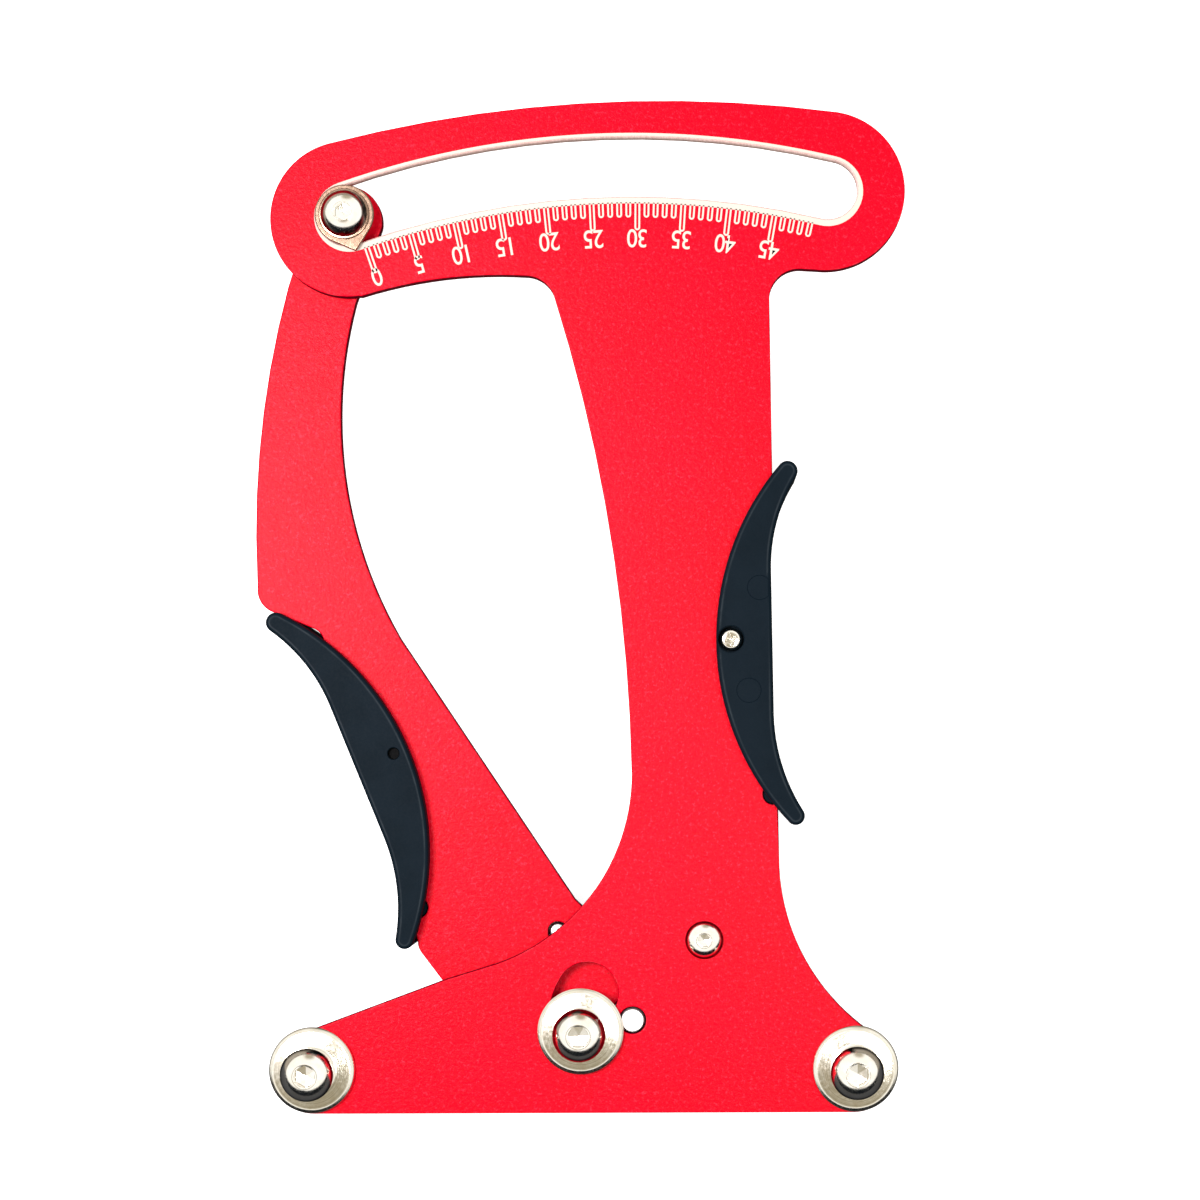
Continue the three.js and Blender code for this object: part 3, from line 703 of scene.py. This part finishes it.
def nut(node, across_flats, bore):
    """A hexagon nut, chamfered on both sides, with a countersunk plain bore."""
    low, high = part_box(node)
    centre = axis_of(node)
    height = (high.z - low.z) / MM
    corner = across_flats / math.sqrt(3)
    flat = across_flats / 2
    cone = [(0, 0), (flat - 0.1, 0), (corner + 0.1, NUT_CHAMFER),
            (corner + 0.1, height - NUT_CHAMFER), (flat - 0.1, height), (0, height)]
    mesh = prism_mesh(node, across_flats, centre, low.z, high.z)
    mesh = boolean(mesh, turned_mesh("cone", cone, centre, low.z, 96), "INTERSECT")
    wide = bore + 0.6
    hole = [(0, -1), (wide, -1), (wide, 0), (bore, 0.55), (bore, height - 0.55), (wide, height),
            (wide, height + 1), (0, height + 1)]
    mesh = boolean(mesh, turned_mesh("hole", hole, centre, low.z, 64))
    return add_piece(node + "_fine", sharpened(mesh, node, 25), [NUT], body_of(node), node)


def turned_piece(node, corners, material, segments=128):
    """A ring or spool from the corners of its half section, counted up from the node's foot."""
    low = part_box(node)[0]
    profile = rounded_profile(corners)
    mesh = turned_mesh(node, profile, axis_of(node), low.z, segments, closed=corners[0][0] > 0)
    return add_piece(node + "_fine", mesh, [material], body_of(node), node)


# ---------------------------------------------------------------- the plates and the scale

def plate_loops(node):
    low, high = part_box(node)
    loops = section(node, low.z * 0.52 + high.z * 0.48)
    return [facing(rounded_arcs(loop), number == 0) for number, loop in enumerate(loops)]


def make_plates():
    slot_rim = (0.22 * MM, 1, 1)
    for node, rims in (("body_plate", {1: slot_rim}), ("lever_arm", None)):
        low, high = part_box(node)
        rim = EDGE_BREAK * MM
        mesh = plate_mesh(node, plate_loops(node), low.z, high.z, rim, rim, 4, rims)
        add_piece(node + "_fine", mesh, [RED, BARE], body_of(node), node)


def arc_points(radius, start, end, steps):
    angles = np.radians(np.linspace(start, end, steps + 1))
    return np.stack([radius * np.cos(angles), radius * np.sin(angles)], 1)


def in_metres(points):
    return np.asarray(points) * MM + np.array([PIVOT.x, PIVOT.y])


def print_mesh(name, loops):
    """A thin printed shape on the front face: outlines in metres, the outer one first."""
    loops = [facing(np.asarray(loop), number == 0) for number, loop in enumerate(loops)]
    z_low = FRONT_Z + 0.002 * MM
    return plate_mesh(name, loops, z_low, z_low + PRINT_THICKNESS * MM, 0.002 * MM, 0.002 * MM, 1)


def make_band():
    """The white border round the arc slot."""
    slot = plate_loops("body_plate")[1]
    inner = shifted(slot, 0.24 * MM)
    left, right = 109.22, 76.55
    end = lambda angle: arc_points(BAND_RADIUS, angle, angle, 1)[0]
    cap_left = end(left) + arc_points(BAND_HALF_WIDTH, left, left + 180, 24)
    cap_right = end(right) + arc_points(BAND_HALF_WIDTH, right - 180, right, 24)
    outer = np.concatenate([
        arc_points(BAND_RADIUS + BAND_HALF_WIDTH, right, left, 60)[:-1],
        cap_left[:-1],
        arc_points(BAND_RADIUS - BAND_HALF_WIDTH, left, right, 60)[:-1],
        cap_right[:-1],
    ])
    mesh = print_mesh("scale_band", [in_metres(outer), inner])
    add_piece("scale_band", mesh, [WHITE], BODY, slot="red_plate")


def tick_outline(angle, foot):
    """A printed line of the scale: a narrow U with its round end towards the figures."""
    direction = np.array([math.cos(math.radians(angle)), math.sin(math.radians(angle))])
    across = np.array([direction[1], -direction[0]])
    half = TICK_WIDTH / 2
    inner = half - PRINT_LINE

    def end(radius, middle):
        angles = np.radians(np.linspace(0, 180, 9))
        out = [math.cos(a) * across - math.sin(a) * direction for a in angles]
        return [middle * direction + radius * o for o in out]

    outside = [TICK_TOP_RADIUS * direction + half * across]
    outside += end(half, foot + half)
    outside += [TICK_TOP_RADIUS * direction - half * across]
    inside = [TICK_TOP_RADIUS * direction - inner * across]
    inside += end(inner, foot + half)[::-1]
    inside += [TICK_TOP_RADIUS * direction + inner * across]
    return in_metres(outside + inside)


def joined(meshes, name):
    bm = bmesh.new()
    for mesh in meshes:
        bm.from_mesh(mesh)
        bpy.data.meshes.remove(mesh)
    result = bpy.data.meshes.new(name)
    bm.to_mesh(result)
    bm.free()
    return result


def make_ticks():
    meshes = []
    for number in range(SCALE_TICKS):
        foot = TICK_SHORT_RADIUS if number % LABEL_EVERY else TICK_LONG_RADIUS
        outline = tick_outline(SCALE_FIRST_ANGLE + SCALE_STEP * number, foot)
        meshes.append(print_mesh("tick", [outline]))
    add_piece("scale_ticks", joined(meshes, "scale_ticks"), [WHITE], BODY, slot="red_plate")


def label_mesh(text, angle):
    """A generic figure of the scale, read with the arc slot below it."""
    curve = bpy.data.curves.new("label", "FONT")
    curve.body = text
    curve.align_x = "CENTER"
    curve.align_y = "CENTER"
    curve.size = LABEL_HEIGHT * MM * 1.38
    curve.space_character = 0.92
    curve.offset = 0.02 * MM
    curve.extrude = PRINT_THICKNESS * MM / 2
    curve.resolution_u = 6
    holder = bpy.data.objects.new("label", curve)
    bpy.context.scene.collection.objects.link(holder)
    graph = bpy.context.evaluated_depsgraph_get()
    mesh = bpy.data.meshes.new_from_object(holder.evaluated_get(graph))
    bpy.data.objects.remove(holder)
    bpy.data.curves.remove(curve)
    radius = LABEL_RADIUS + LABEL_LOW_RISE * max(0.0, 1 - int(text) / 25)
    spot = point(radius * math.cos(math.radians(angle)), radius * math.sin(math.radians(angle)),
                 0.002 + PRINT_THICKNESS / 2)
    turn = Matrix.Rotation(math.radians(angle + 90), 4, "Z")
    narrow = Matrix.Diagonal((0.86, 1, 1, 1))
    mesh.transform(Matrix.Translation(spot) @ turn @ narrow)
    return mesh


def make_labels():
    meshes = []
    for number in range(0, SCALE_TICKS, LABEL_EVERY):
        meshes.append(label_mesh(str(number), SCALE_FIRST_ANGLE + SCALE_STEP * number))
    mesh = joined(meshes, "scale_figures")
    add_piece("scale_figures", sharpened(mesh, "scale_figures"), [WHITE], BODY, slot="red_plate")


# ---------------------------------------------------------------- grips

def in_grip(node, u, v):
    """A place in a grip's own frame, in millimetres: u up its chord, v inwards."""
    side = node.split("_")[0]
    (x, y), (dx, dy) = GRIP_MIDDLES[side], GRIP_CHORDS[side]
    inward = (-dy, dx) if side == "right" else (dy, -dx)
    return point(x + u * dx + v * inward[0], y + u * dy + v * inward[1], 0).xy


def turned_tool(profile, centre, base_z, upward, segments=48):
    """A turned cutter that enters a face from above, or from below."""
    if not upward:
        profile = [(radius, -z) for radius, z in profile][::-1]
    return turned_mesh("cutter", profile, centre, base_z, segments)


def grip_shell(node, face, split, has_head, screw):
    """One moulded half of a grip: rounded along its face, with a hole for the grip's screw."""
    front = face > split
    outline = section(node, split + (face - split) * 0.45)[0]
    outline = facing(rounded_arcs(outline, math.radians(4)), True)
    rounding, parting = GRIP_ROUNDING * MM, 0.15 * MM
    if front:
        mesh = plate_mesh(node, [outline], split, face, parting, rounding, 6, line=0.3 * MM)
    else:
        mesh = plate_mesh(node, [outline], face, split, rounding, parting, 6, line=0.3 * MM)
    wear_and_highlight = mesh.attributes["edge"].data
    polish_and_highlight_line = [vert.co.copy() for vert in mesh.vertices if wear_and_highlight[vert.index].value > 0.5]
    radius, depth = (2.6, 2.4) if has_head else (1.1, 1.1)
    lip = 0.2
    wide = radius + lip
    hole = [(0, -depth), (radius, -depth), (radius, -lip), (wide, 0), (wide, 1), (0, 1)]
    mesh = boolean(mesh, turned_tool(hole, screw, face, front))
    if has_head:
        through = [(0, -16), (1.7, -16), (1.7, 0), (0, 0)]
        mesh = boolean(mesh, turned_tool(through, screw, face, front, 32))
    if front and has_head:
        for u, v in EJECTOR_MARKS:
            groove = [(2.3, 0.05), (2.42, -0.07), (2.54, 0.05)]
            tool = turned_mesh("ejector", groove, in_grip(node, u, v), face, 48, closed=True)
            mesh = boolean(mesh, tool)
    mesh = sharpened(mesh, node, 40)
    for polygon in mesh.polygons:
        polygon.use_smooth = abs(polygon.normal.z) < 0.9999
    # Painted highlight line: only the vertices of the narrow ring inside the rounding keep edge at 1.
    nearest = KDTree(len(polish_and_highlight_line))
    for number, place in enumerate(polish_and_highlight_line):
        nearest.insert(place, number)
    nearest.balance()
    for vert in mesh.vertices:
        distance = nearest.find(vert.co)[2]
        mesh.attributes["edge"].data[vert.index].value = 1.0 if distance < 0.005 * MM else 0.0
    # Painted shade in the blind screw hole: pit is 1 inside it, and the plastic turns near black there.
    pit = mesh.attributes.new("pit", "FLOAT", "POINT")
    for vert in mesh.vertices:
        inside = (vert.co.xy - screw).length < (radius + 0.05) * MM
        pit.data[vert.index].value = 1.0 if inside and not has_head else 0.0
    return mesh


def make_grips():
    for side, plate, screw_front in (("right", "body_plate", True), ("left", "lever_arm", False)):
        plate_low, plate_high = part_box(plate)
        screw = axis_of(side + "_grip_screw")
        for half in ("front", "back"):
            node = f"{side}_grip_{half}"
            low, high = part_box(node)
            front = half == "front"
            split = low.z if front else plate_low.z - 0.1 * MM
            face = high.z if front else low.z
            mesh = grip_shell(node, face, split, front == screw_front, screw)
            add_piece(node + "_fine", mesh, [PLASTIC], body_of(node), node)
            if not front:
                make_ribs(node, plate_low.z, plate_high.z, split)


def make_ribs(node, plate_low, plate_high, split):
    """What fills the room beside the plate, the pegs in the plate, and the lug near the low end."""
    meshes = []
    for loop in section(node, (plate_low + plate_high) / 2):
        outline = facing(rounded_arcs(loop), True)
        if abs(signed_area(outline)) > 0.5 * MM * MM:
            z_low, z_high = split - 0.3 * MM, plate_high - 0.1 * MM
            meshes.append(plate_mesh("rib", [outline], z_low, z_high, 0.05 * MM, 0.05 * MM, 1))
    radius = GRIP_LUG_RADIUS
    wide = radius + 0.35
    foot = [(0, -5.4), (radius + 0.2, -5.4), (wide, -5.2), (wide, -3.1), (radius, -3.1),
            (radius, -0.25), (radius - 0.2, -0.05), (0, -0.05)]
    spot = in_grip(node, *GRIP_LUGS[node.split("_")[0]])
    meshes.append(turned_mesh("lug", foot, spot, plate_high, 64))
    piece = add_piece(node + "_ribs", joined(meshes, node + "_ribs"), [PLASTIC], body_of(node))


def grip_screw(node, front):
    """A small pan head screw with a cross recess."""
    low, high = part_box(node)
    centre = axis_of(node)
    top = high.z if front else low.z
    length = (high.z - low.z) / MM
    profile = [(0, -length), (0.35, -length), (1.1, 1.6 - length)]
    profile += thread_profile(1.45, 1.9 - length, -1.9, 1.1, 0.35)
    profile += [(1.1, -1.7), (2.1, -1.7), (2.25, -1.55)]
    for i in range(9):
        angle = math.radians(10 * i)
        profile.append((1.25 + 1.0 * math.cos(angle), -1.0 + 1.0 * math.sin(angle)))
    profile += [(0, 0)]
    mesh = turned_mesh(node, profile, Vector((0, 0)), 0.0, 64)
    for turn in (20, 110):
        bm = bmesh.new()
        bmesh.ops.create_cube(bm, size=1.0)
        tool = bpy.data.meshes.new("slot")
        bm.to_mesh(tool)
        bm.free()
        blade = Matrix.Diagonal((2.7 * MM, 0.55 * MM, 2.0 * MM, 1))
        tool.transform(Matrix.Rotation(math.radians(turn), 4, "Z") @ blade)
        mesh = boolean(mesh, tool)
    cone = [(0, -1.7), (0.85, 0.1), (0, 0.1)]
    mesh = boolean(mesh, turned_mesh("cone", cone, Vector((0, 0)), 0.0, 24))
    flip = Matrix.Identity(4) if front else Matrix.Rotation(math.pi, 4, "X")
    mesh.transform(Matrix.Translation((centre.x, centre.y, top)) @ flip)
    add_piece(node + "_fine", sharpened(mesh, node), [SCREW], body_of(node), node)


# ---------------------------------------------------------------- spring

def spring_points():
    """The middle line of the torsion spring: a leg, the coil from the arm's side down, a leg."""
    coil, leg = 7.0, 24.5  # the coil's radius, a leg's length
    arm_z, body_z = -8.0, -13.55  # heights of the two legs
    leg_steps, coil_steps = 16, 260
    pin = (axis_of("arm_spring_pin") - PIVOT.xy) / MM
    post = (axis_of("body_spring_post") - PIVOT.xy) / MM

    def leg_angle(spot, radius, side):
        lean = math.acos((coil + radius + WIRE_RADIUS + 0.05) / spot.length)
        return math.atan2(spot.y, spot.x) + side * lean

    left = leg_angle(pin, SPRING_PIN_RADIUS, 1)
    right = leg_angle(post, SPRING_POST_RADIUS, -1) + 2 * math.pi
    sweep = right - left + 4 * math.pi

    def spot(angle, distance, z):
        return point(coil * math.cos(angle) + distance * math.sin(angle),
                     coil * math.sin(angle) - distance * math.cos(angle), z)

    points = [spot(left, leg * (1 - k / leg_steps), arm_z) for k in range(leg_steps)]
    for k in range(coil_steps + 1):
        z = arm_z + (body_z - arm_z) * k / coil_steps
        points.append(spot(left + sweep * k / coil_steps, 0, z))
    points += [spot(right, -leg * k / leg_steps, body_z) for k in range(1, leg_steps + 1)]
    return points


def wire_mesh(name, points, radius, sides=24):
    """A round wire along a line of points, with slightly rounded ends."""
    bm = bmesh.new()
    across = Vector((0, 0, 1))
    rings = []
    last = len(points) - 1
    for i, spot in enumerate(points):
        ahead = (points[min(i + 1, last)] - points[max(i - 1, 0)]).normalized()
        side = ahead.cross(across).normalized()
        up = side.cross(ahead).normalized()
        ends = [(0.0, radius)]
        if i == 0:
            ends = [(0.0, radius * 0.8), (radius * 0.2, radius)]
        if i == last:
            ends = [(-radius * 0.2, radius), (0.0, radius * 0.8)]
        for shift, size in ends:
            ring = []
            for k in range(sides):
                angle = 2 * math.pi * k / sides
                out = side * math.cos(angle) + up * math.sin(angle)
                ring.append(bm.verts.new(spot + ahead * shift + out * size))
            rings.append(ring)
    for lower, upper in zip(rings, rings[1:]):
        ring_between(bm, lower, upper)
    bm.faces.new(rings[0][::-1])
    bm.faces.new(rings[-1])
    return mesh_from(bm, name)


def make_spring():
    mesh = wire_mesh("torsion_spring", spring_points(), WIRE_RADIUS * MM)
    piece = add_piece("torsion_spring_fine", mesh, [WIRE], None, "torsion_spring")
    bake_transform(piece)


# ---------------------------------------------------------------- pointer

def make_pointer_plate():
    """A drop-shaped plate whose tip points at the scale, with a raised seat round its screw."""
    centre = axis_of("pointer_screw")
    low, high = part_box("pointer_plate")
    disc_radius, tip_radius = 5.9, 0.35
    tip = Vector((2.15, -6.95))
    towards = math.degrees(math.atan2(tip.y, tip.x))
    lean = math.degrees(math.acos((disc_radius - tip_radius) / tip.length))
    drop = np.concatenate([
        arc_points(disc_radius, towards + lean, towards + 360 - lean, 90),
        np.array(tip) + arc_points(tip_radius, towards - lean, towards + lean, 8),
    ])
    outline = drop * MM + np.array(centre)
    hole = arc_points(M5_BORE, 0, 360, 48)[:-1] * MM + np.array(centre)
    step = 0.4 * MM
    loops = [facing(outline, True), facing(hole, False)]
    plate = plate_mesh("pointer_plate", loops, low.z, high.z - step, 0.1 * MM, 0.28 * MM, 4)
    corners = [(M5_BORE, 0.5, 0), (5.1, 0.5, 0.05), (5.1, 1.2, 0.3), (M5_BORE, 1.2, 0)]
    seat = turned_mesh("seat", rounded_profile(corners), centre, low.z, 96, closed=True)
    mesh = joined([plate, seat], "pointer_plate")
    add_piece("pointer_plate_fine", mesh, [POINTER_PLATE], LEVER, "pointer_plate")


# ---------------------------------------------------------------- assembly

def spool_corners(hub, flange_low, height, flange_top):
    """Half section of a grooved post: hub, flange with a sloped face, waisted neck."""
    bore = 3.2
    corners = [(bore, 0.0, 0.0)]
    if hub:
        corners += [(4.25, 0.0, 0.15), (4.25, flange_low, 0.1)]
    corners += [
        (8.35, flange_low, 0.1),
        (8.6, flange_low + 0.25, 0.15),
        (8.6, flange_top - 0.95, 0.3),
        (7.75, flange_top - 0.32, 0.25),
        (5.0, flange_top - 0.02, 0.3),
        (4.15, flange_top + 0.35, 0.4),
        (3.85, (flange_top + height) / 2, 1.2),
        (4.0, height - 0.1, 0.1),
        (3.9, height, 0.08),
        (bore, height, 0.0),
    ]
    return corners


def ring_corners(bore, outer, height, edge=0.25):
    return [(bore, 0, 0), (outer, 0, edge), (outer, height, edge), (bore, height, 0)]


def spool_metal(spool, name):
    """Turned nickel with fine rings about the post's axis."""
    return plated(name, SPOOL_LIGHT, SPOOL_DARK, 0.15, 0.34, (*axis_of(spool), 0))


def make_fasteners():
    """The three posts, the pointer's screw, and what holds the pivot and the spring."""
    for side in ("left", "right"):
        spool = f"{side}_post_spool"
        metal = spool_metal(spool, spool + "_nickel")
        turned_piece(spool, spool_corners(False, 0.0, 7.8, 1.9), metal)
        button_screw(f"{side}_post_screw", M6_BUTTON, 30)
        nut(f"{side}_post_nut", 10, 3.1)
    metal = spool_metal("centre_post_spool", "centre_spool_nickel")
    turned_piece("centre_post_spool", spool_corners(True, 4.4, 11.6, 5.7), metal)
    button_screw("centre_post_screw", M6_BUTTON, 0, 0.84)
    button_screw("pointer_screw", M5_BUTTON, 30, 0.8)
    button_screw("body_spring_screw", M4_BUTTON, 10, 0.84)
    nut("pointer_nut", 8, 2.6)
    turned_piece("arm_thrust_washer", ring_corners(M5_BORE, 4.2, 0.6, 0.12), BUSH)
    turned_piece("pivot_bush", ring_corners(M5_BORE, 4.5, 10.85), BUSH)
    turned_piece("spring_retaining_washer", ring_corners(M5_BORE, 8.0, 0.8), NUT)
    turned_piece("pointer_bush", ring_corners(M5_BORE, 4.5, 4.2), BUSH)
    turned_piece("body_spring_post", ring_corners(2.2, SPRING_POST_RADIUS, 11.4), BUSH)
    make_spring_pin()
    make_pivot_screw()
    grip_screw("right_grip_screw", True)
    grip_screw("left_grip_screw", False)


def make_spring_pin():
    """The stepped pin that the moving leg of the spring pushes on."""
    radius, shoulder, shank, top = SPRING_PIN_RADIUS, 6.1, 1.8, 8.7
    corners = [(0, 0, 0), (radius, 0, 0.4), (radius, shoulder, 0.3), (shank, shoulder, 0.0),
               (shank, top, 0.9), (0, top, 0)]
    turned_piece("arm_spring_pin", corners, BUSH)


def make_pivot_screw():
    """The pivot screw: its head is behind, and its sawn-off end shows in front."""
    node = "pivot_screw"
    low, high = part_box(node)
    centre = axis_of(node)
    length = (high.z - low.z) / MM
    shank, head_height = 2.4, 2.65
    profile = [(0, 0), (2.3, 0), (3.2, 0.25), (3.9, 0.75), (4.4, 1.5), (4.6, 2.2), (4.6, 2.5)]
    profile += [(4.5, head_height), (shank, head_height), (shank, length - 5.5)]
    profile += thread_profile(shank, length - 5.3, length - 0.4, 0.8, 0.3)
    profile += [(shank - 0.25, length), (0, length)]
    mesh = turned_mesh(node, profile, centre, low.z, 96)
    mesh = boolean(mesh, prism_mesh("socket", 3.0, centre, low.z - MM, low.z + 1.6 * MM))
    add_piece(node + "_fine", sharpened(mesh, node), [SAWN_END], BODY, node)


# ---------------------------------------------------------------- camera, light and floor

TENT_SIDE = rgb(1.28, 1.26, 1.22)
TENT_TOP = rgb(0.42, 0.37, 0.26)
TENT_BACK = rgb(0.55, 0.49, 0.38)
BELOW_TENT = rgb(0.007, 0.009, 0.012)


def make_camera():
    """Straight down on the front faces, standing a little to the right and above the middle."""
    camera = bpy.data.cameras.new("camera")
    camera.lens = 81.0
    camera.sensor_width = 36.0
    camera.shift_x = -0.0887
    camera.shift_y = 0.1
    camera.clip_start = 0.01
    holder = bpy.data.objects.new("camera", camera)
    holder.location = point(15.0, 60.0, 540.0)
    holder.rotation_euler = (0, 0, math.radians(-0.19))
    bpy.context.scene.collection.objects.link(holder)
    bpy.context.scene.camera = holder


def add_light(name, place, width, height, power, colour=(1, 1, 1)):
    """A softbox that shines at the middle of the meter."""
    data = bpy.data.lights.new(name, "AREA")
    data.shape = "RECTANGLE"
    data.size = width
    data.size_y = height
    data.energy = power
    data.color = colour
    holder = bpy.data.objects.new(name, data)
    holder.location = place
    holder.rotation_mode = "QUATERNION"
    holder.rotation_quaternion = Vector(place).to_track_quat("Z", "Y")
    holder.visible_camera = False
    bpy.context.scene.collection.objects.link(holder)


def make_stage():
    """A pale floor. Seen directly it glows a little, as an overexposed background does. To all other rays it is a
    painted dark surround, near black in front and dim beige behind, so the metal reflects dark there.
    """
    bm = bmesh.new()
    bmesh.ops.create_grid(bm, x_segments=1, y_segments=1, size=3.0)
    mesh = bpy.data.meshes.new("floor")
    bm.to_mesh(mesh)
    bm.free()
    n = Nodes("pale_floor")
    seen = n.camera_ray()
    place = n.add("ShaderNodeSeparateXYZ")
    n.feed(place.inputs[0], n.place)
    # Painted dark reflections: what the metal sees of the floor is near black in front and dim beige behind.
    behind = n.ramp(place.outputs["Y"], -0.078, -0.06)
    shaded = n.mix(behind, rgb(0.003, 0.004, 0.006), rgb(0.13, 0.115, 0.09))
    tone = n.mix(seen, shaded, rgb(0.6, 0.6, 0.6))
    n.set(Base_Color=tone, Roughness=0.9, Emission_Color=rgb(1, 1, 1),
          Emission_Strength=n.math("MULTIPLY", seen, 0.82))
    mesh.materials.append(n.material)
    floor = bpy.data.objects.new("floor", mesh)
    bpy.context.scene.collection.objects.link(floor)


class World(Tree):
    """A short way to write the studio's surroundings: colours that depend on the direction only."""

    def __init__(self):
        world = bpy.data.worlds.new("studio")
        bpy.context.scene.world = world
        super().__init__(world)
        self.direction = self.add("ShaderNodeTexCoord").outputs["Generated"]

    def measured(self, operation, direction):
        node = self.add("ShaderNodeVectorMath", operation=operation)
        self.feed(node.inputs[0], self.direction)
        node.inputs[1].default_value = Vector(direction).normalized()
        return node.outputs["Value"]

    def away_from(self, direction, near, far):
        return self.ramp(self.measured("DISTANCE", direction), near, far)

    def above(self, normal, low, high):
        return self.ramp(self.measured("DOT_PRODUCT", normal), low, high)


def make_world():
    """A white tent that is dimmer overhead and behind, and dark below its edge."""
    w = World()
    overhead, behind, tent_edge = (-0.03, -0.22, 0.975), (0.1, 0.99, 0.12), (0, 0.42, 0.906)
    colour = w.mix(w.away_from(overhead, 0.38, 0.6), TENT_TOP, TENT_SIDE)
    colour = w.mix(w.away_from(behind, 0.12, 0.4), TENT_BACK, colour)
    colour = w.mix(w.above(tent_edge, -0.02, 0.06), BELOW_TENT, colour)
    colour = w.mix(w.camera_ray(), colour, rgb(1, 1, 1))
    background = w.tree.nodes["Background"]
    w.feed(background.inputs["Color"], colour)
    background.inputs["Strength"].default_value = 1.0


def make_lights():
    """A large softbox at the left and a small one at the lower right, over the meter."""
    add_light("left_softbox", (-0.2, 0.04, 0.52), 0.16, 0.2, 5.0, (1, 0.96, 1))
    add_light("right_softbox", (0.145, -0.07, 0.52), 0.1, 0.14, 1.3)


make_camera()
make_stage()
make_world()
make_lights()
make_plates()
make_band()
make_ticks()
make_labels()
make_grips()
make_fasteners()
make_spring()
make_pointer_plate()

bpy.context.scene.view_settings.view_transform = "Standard"
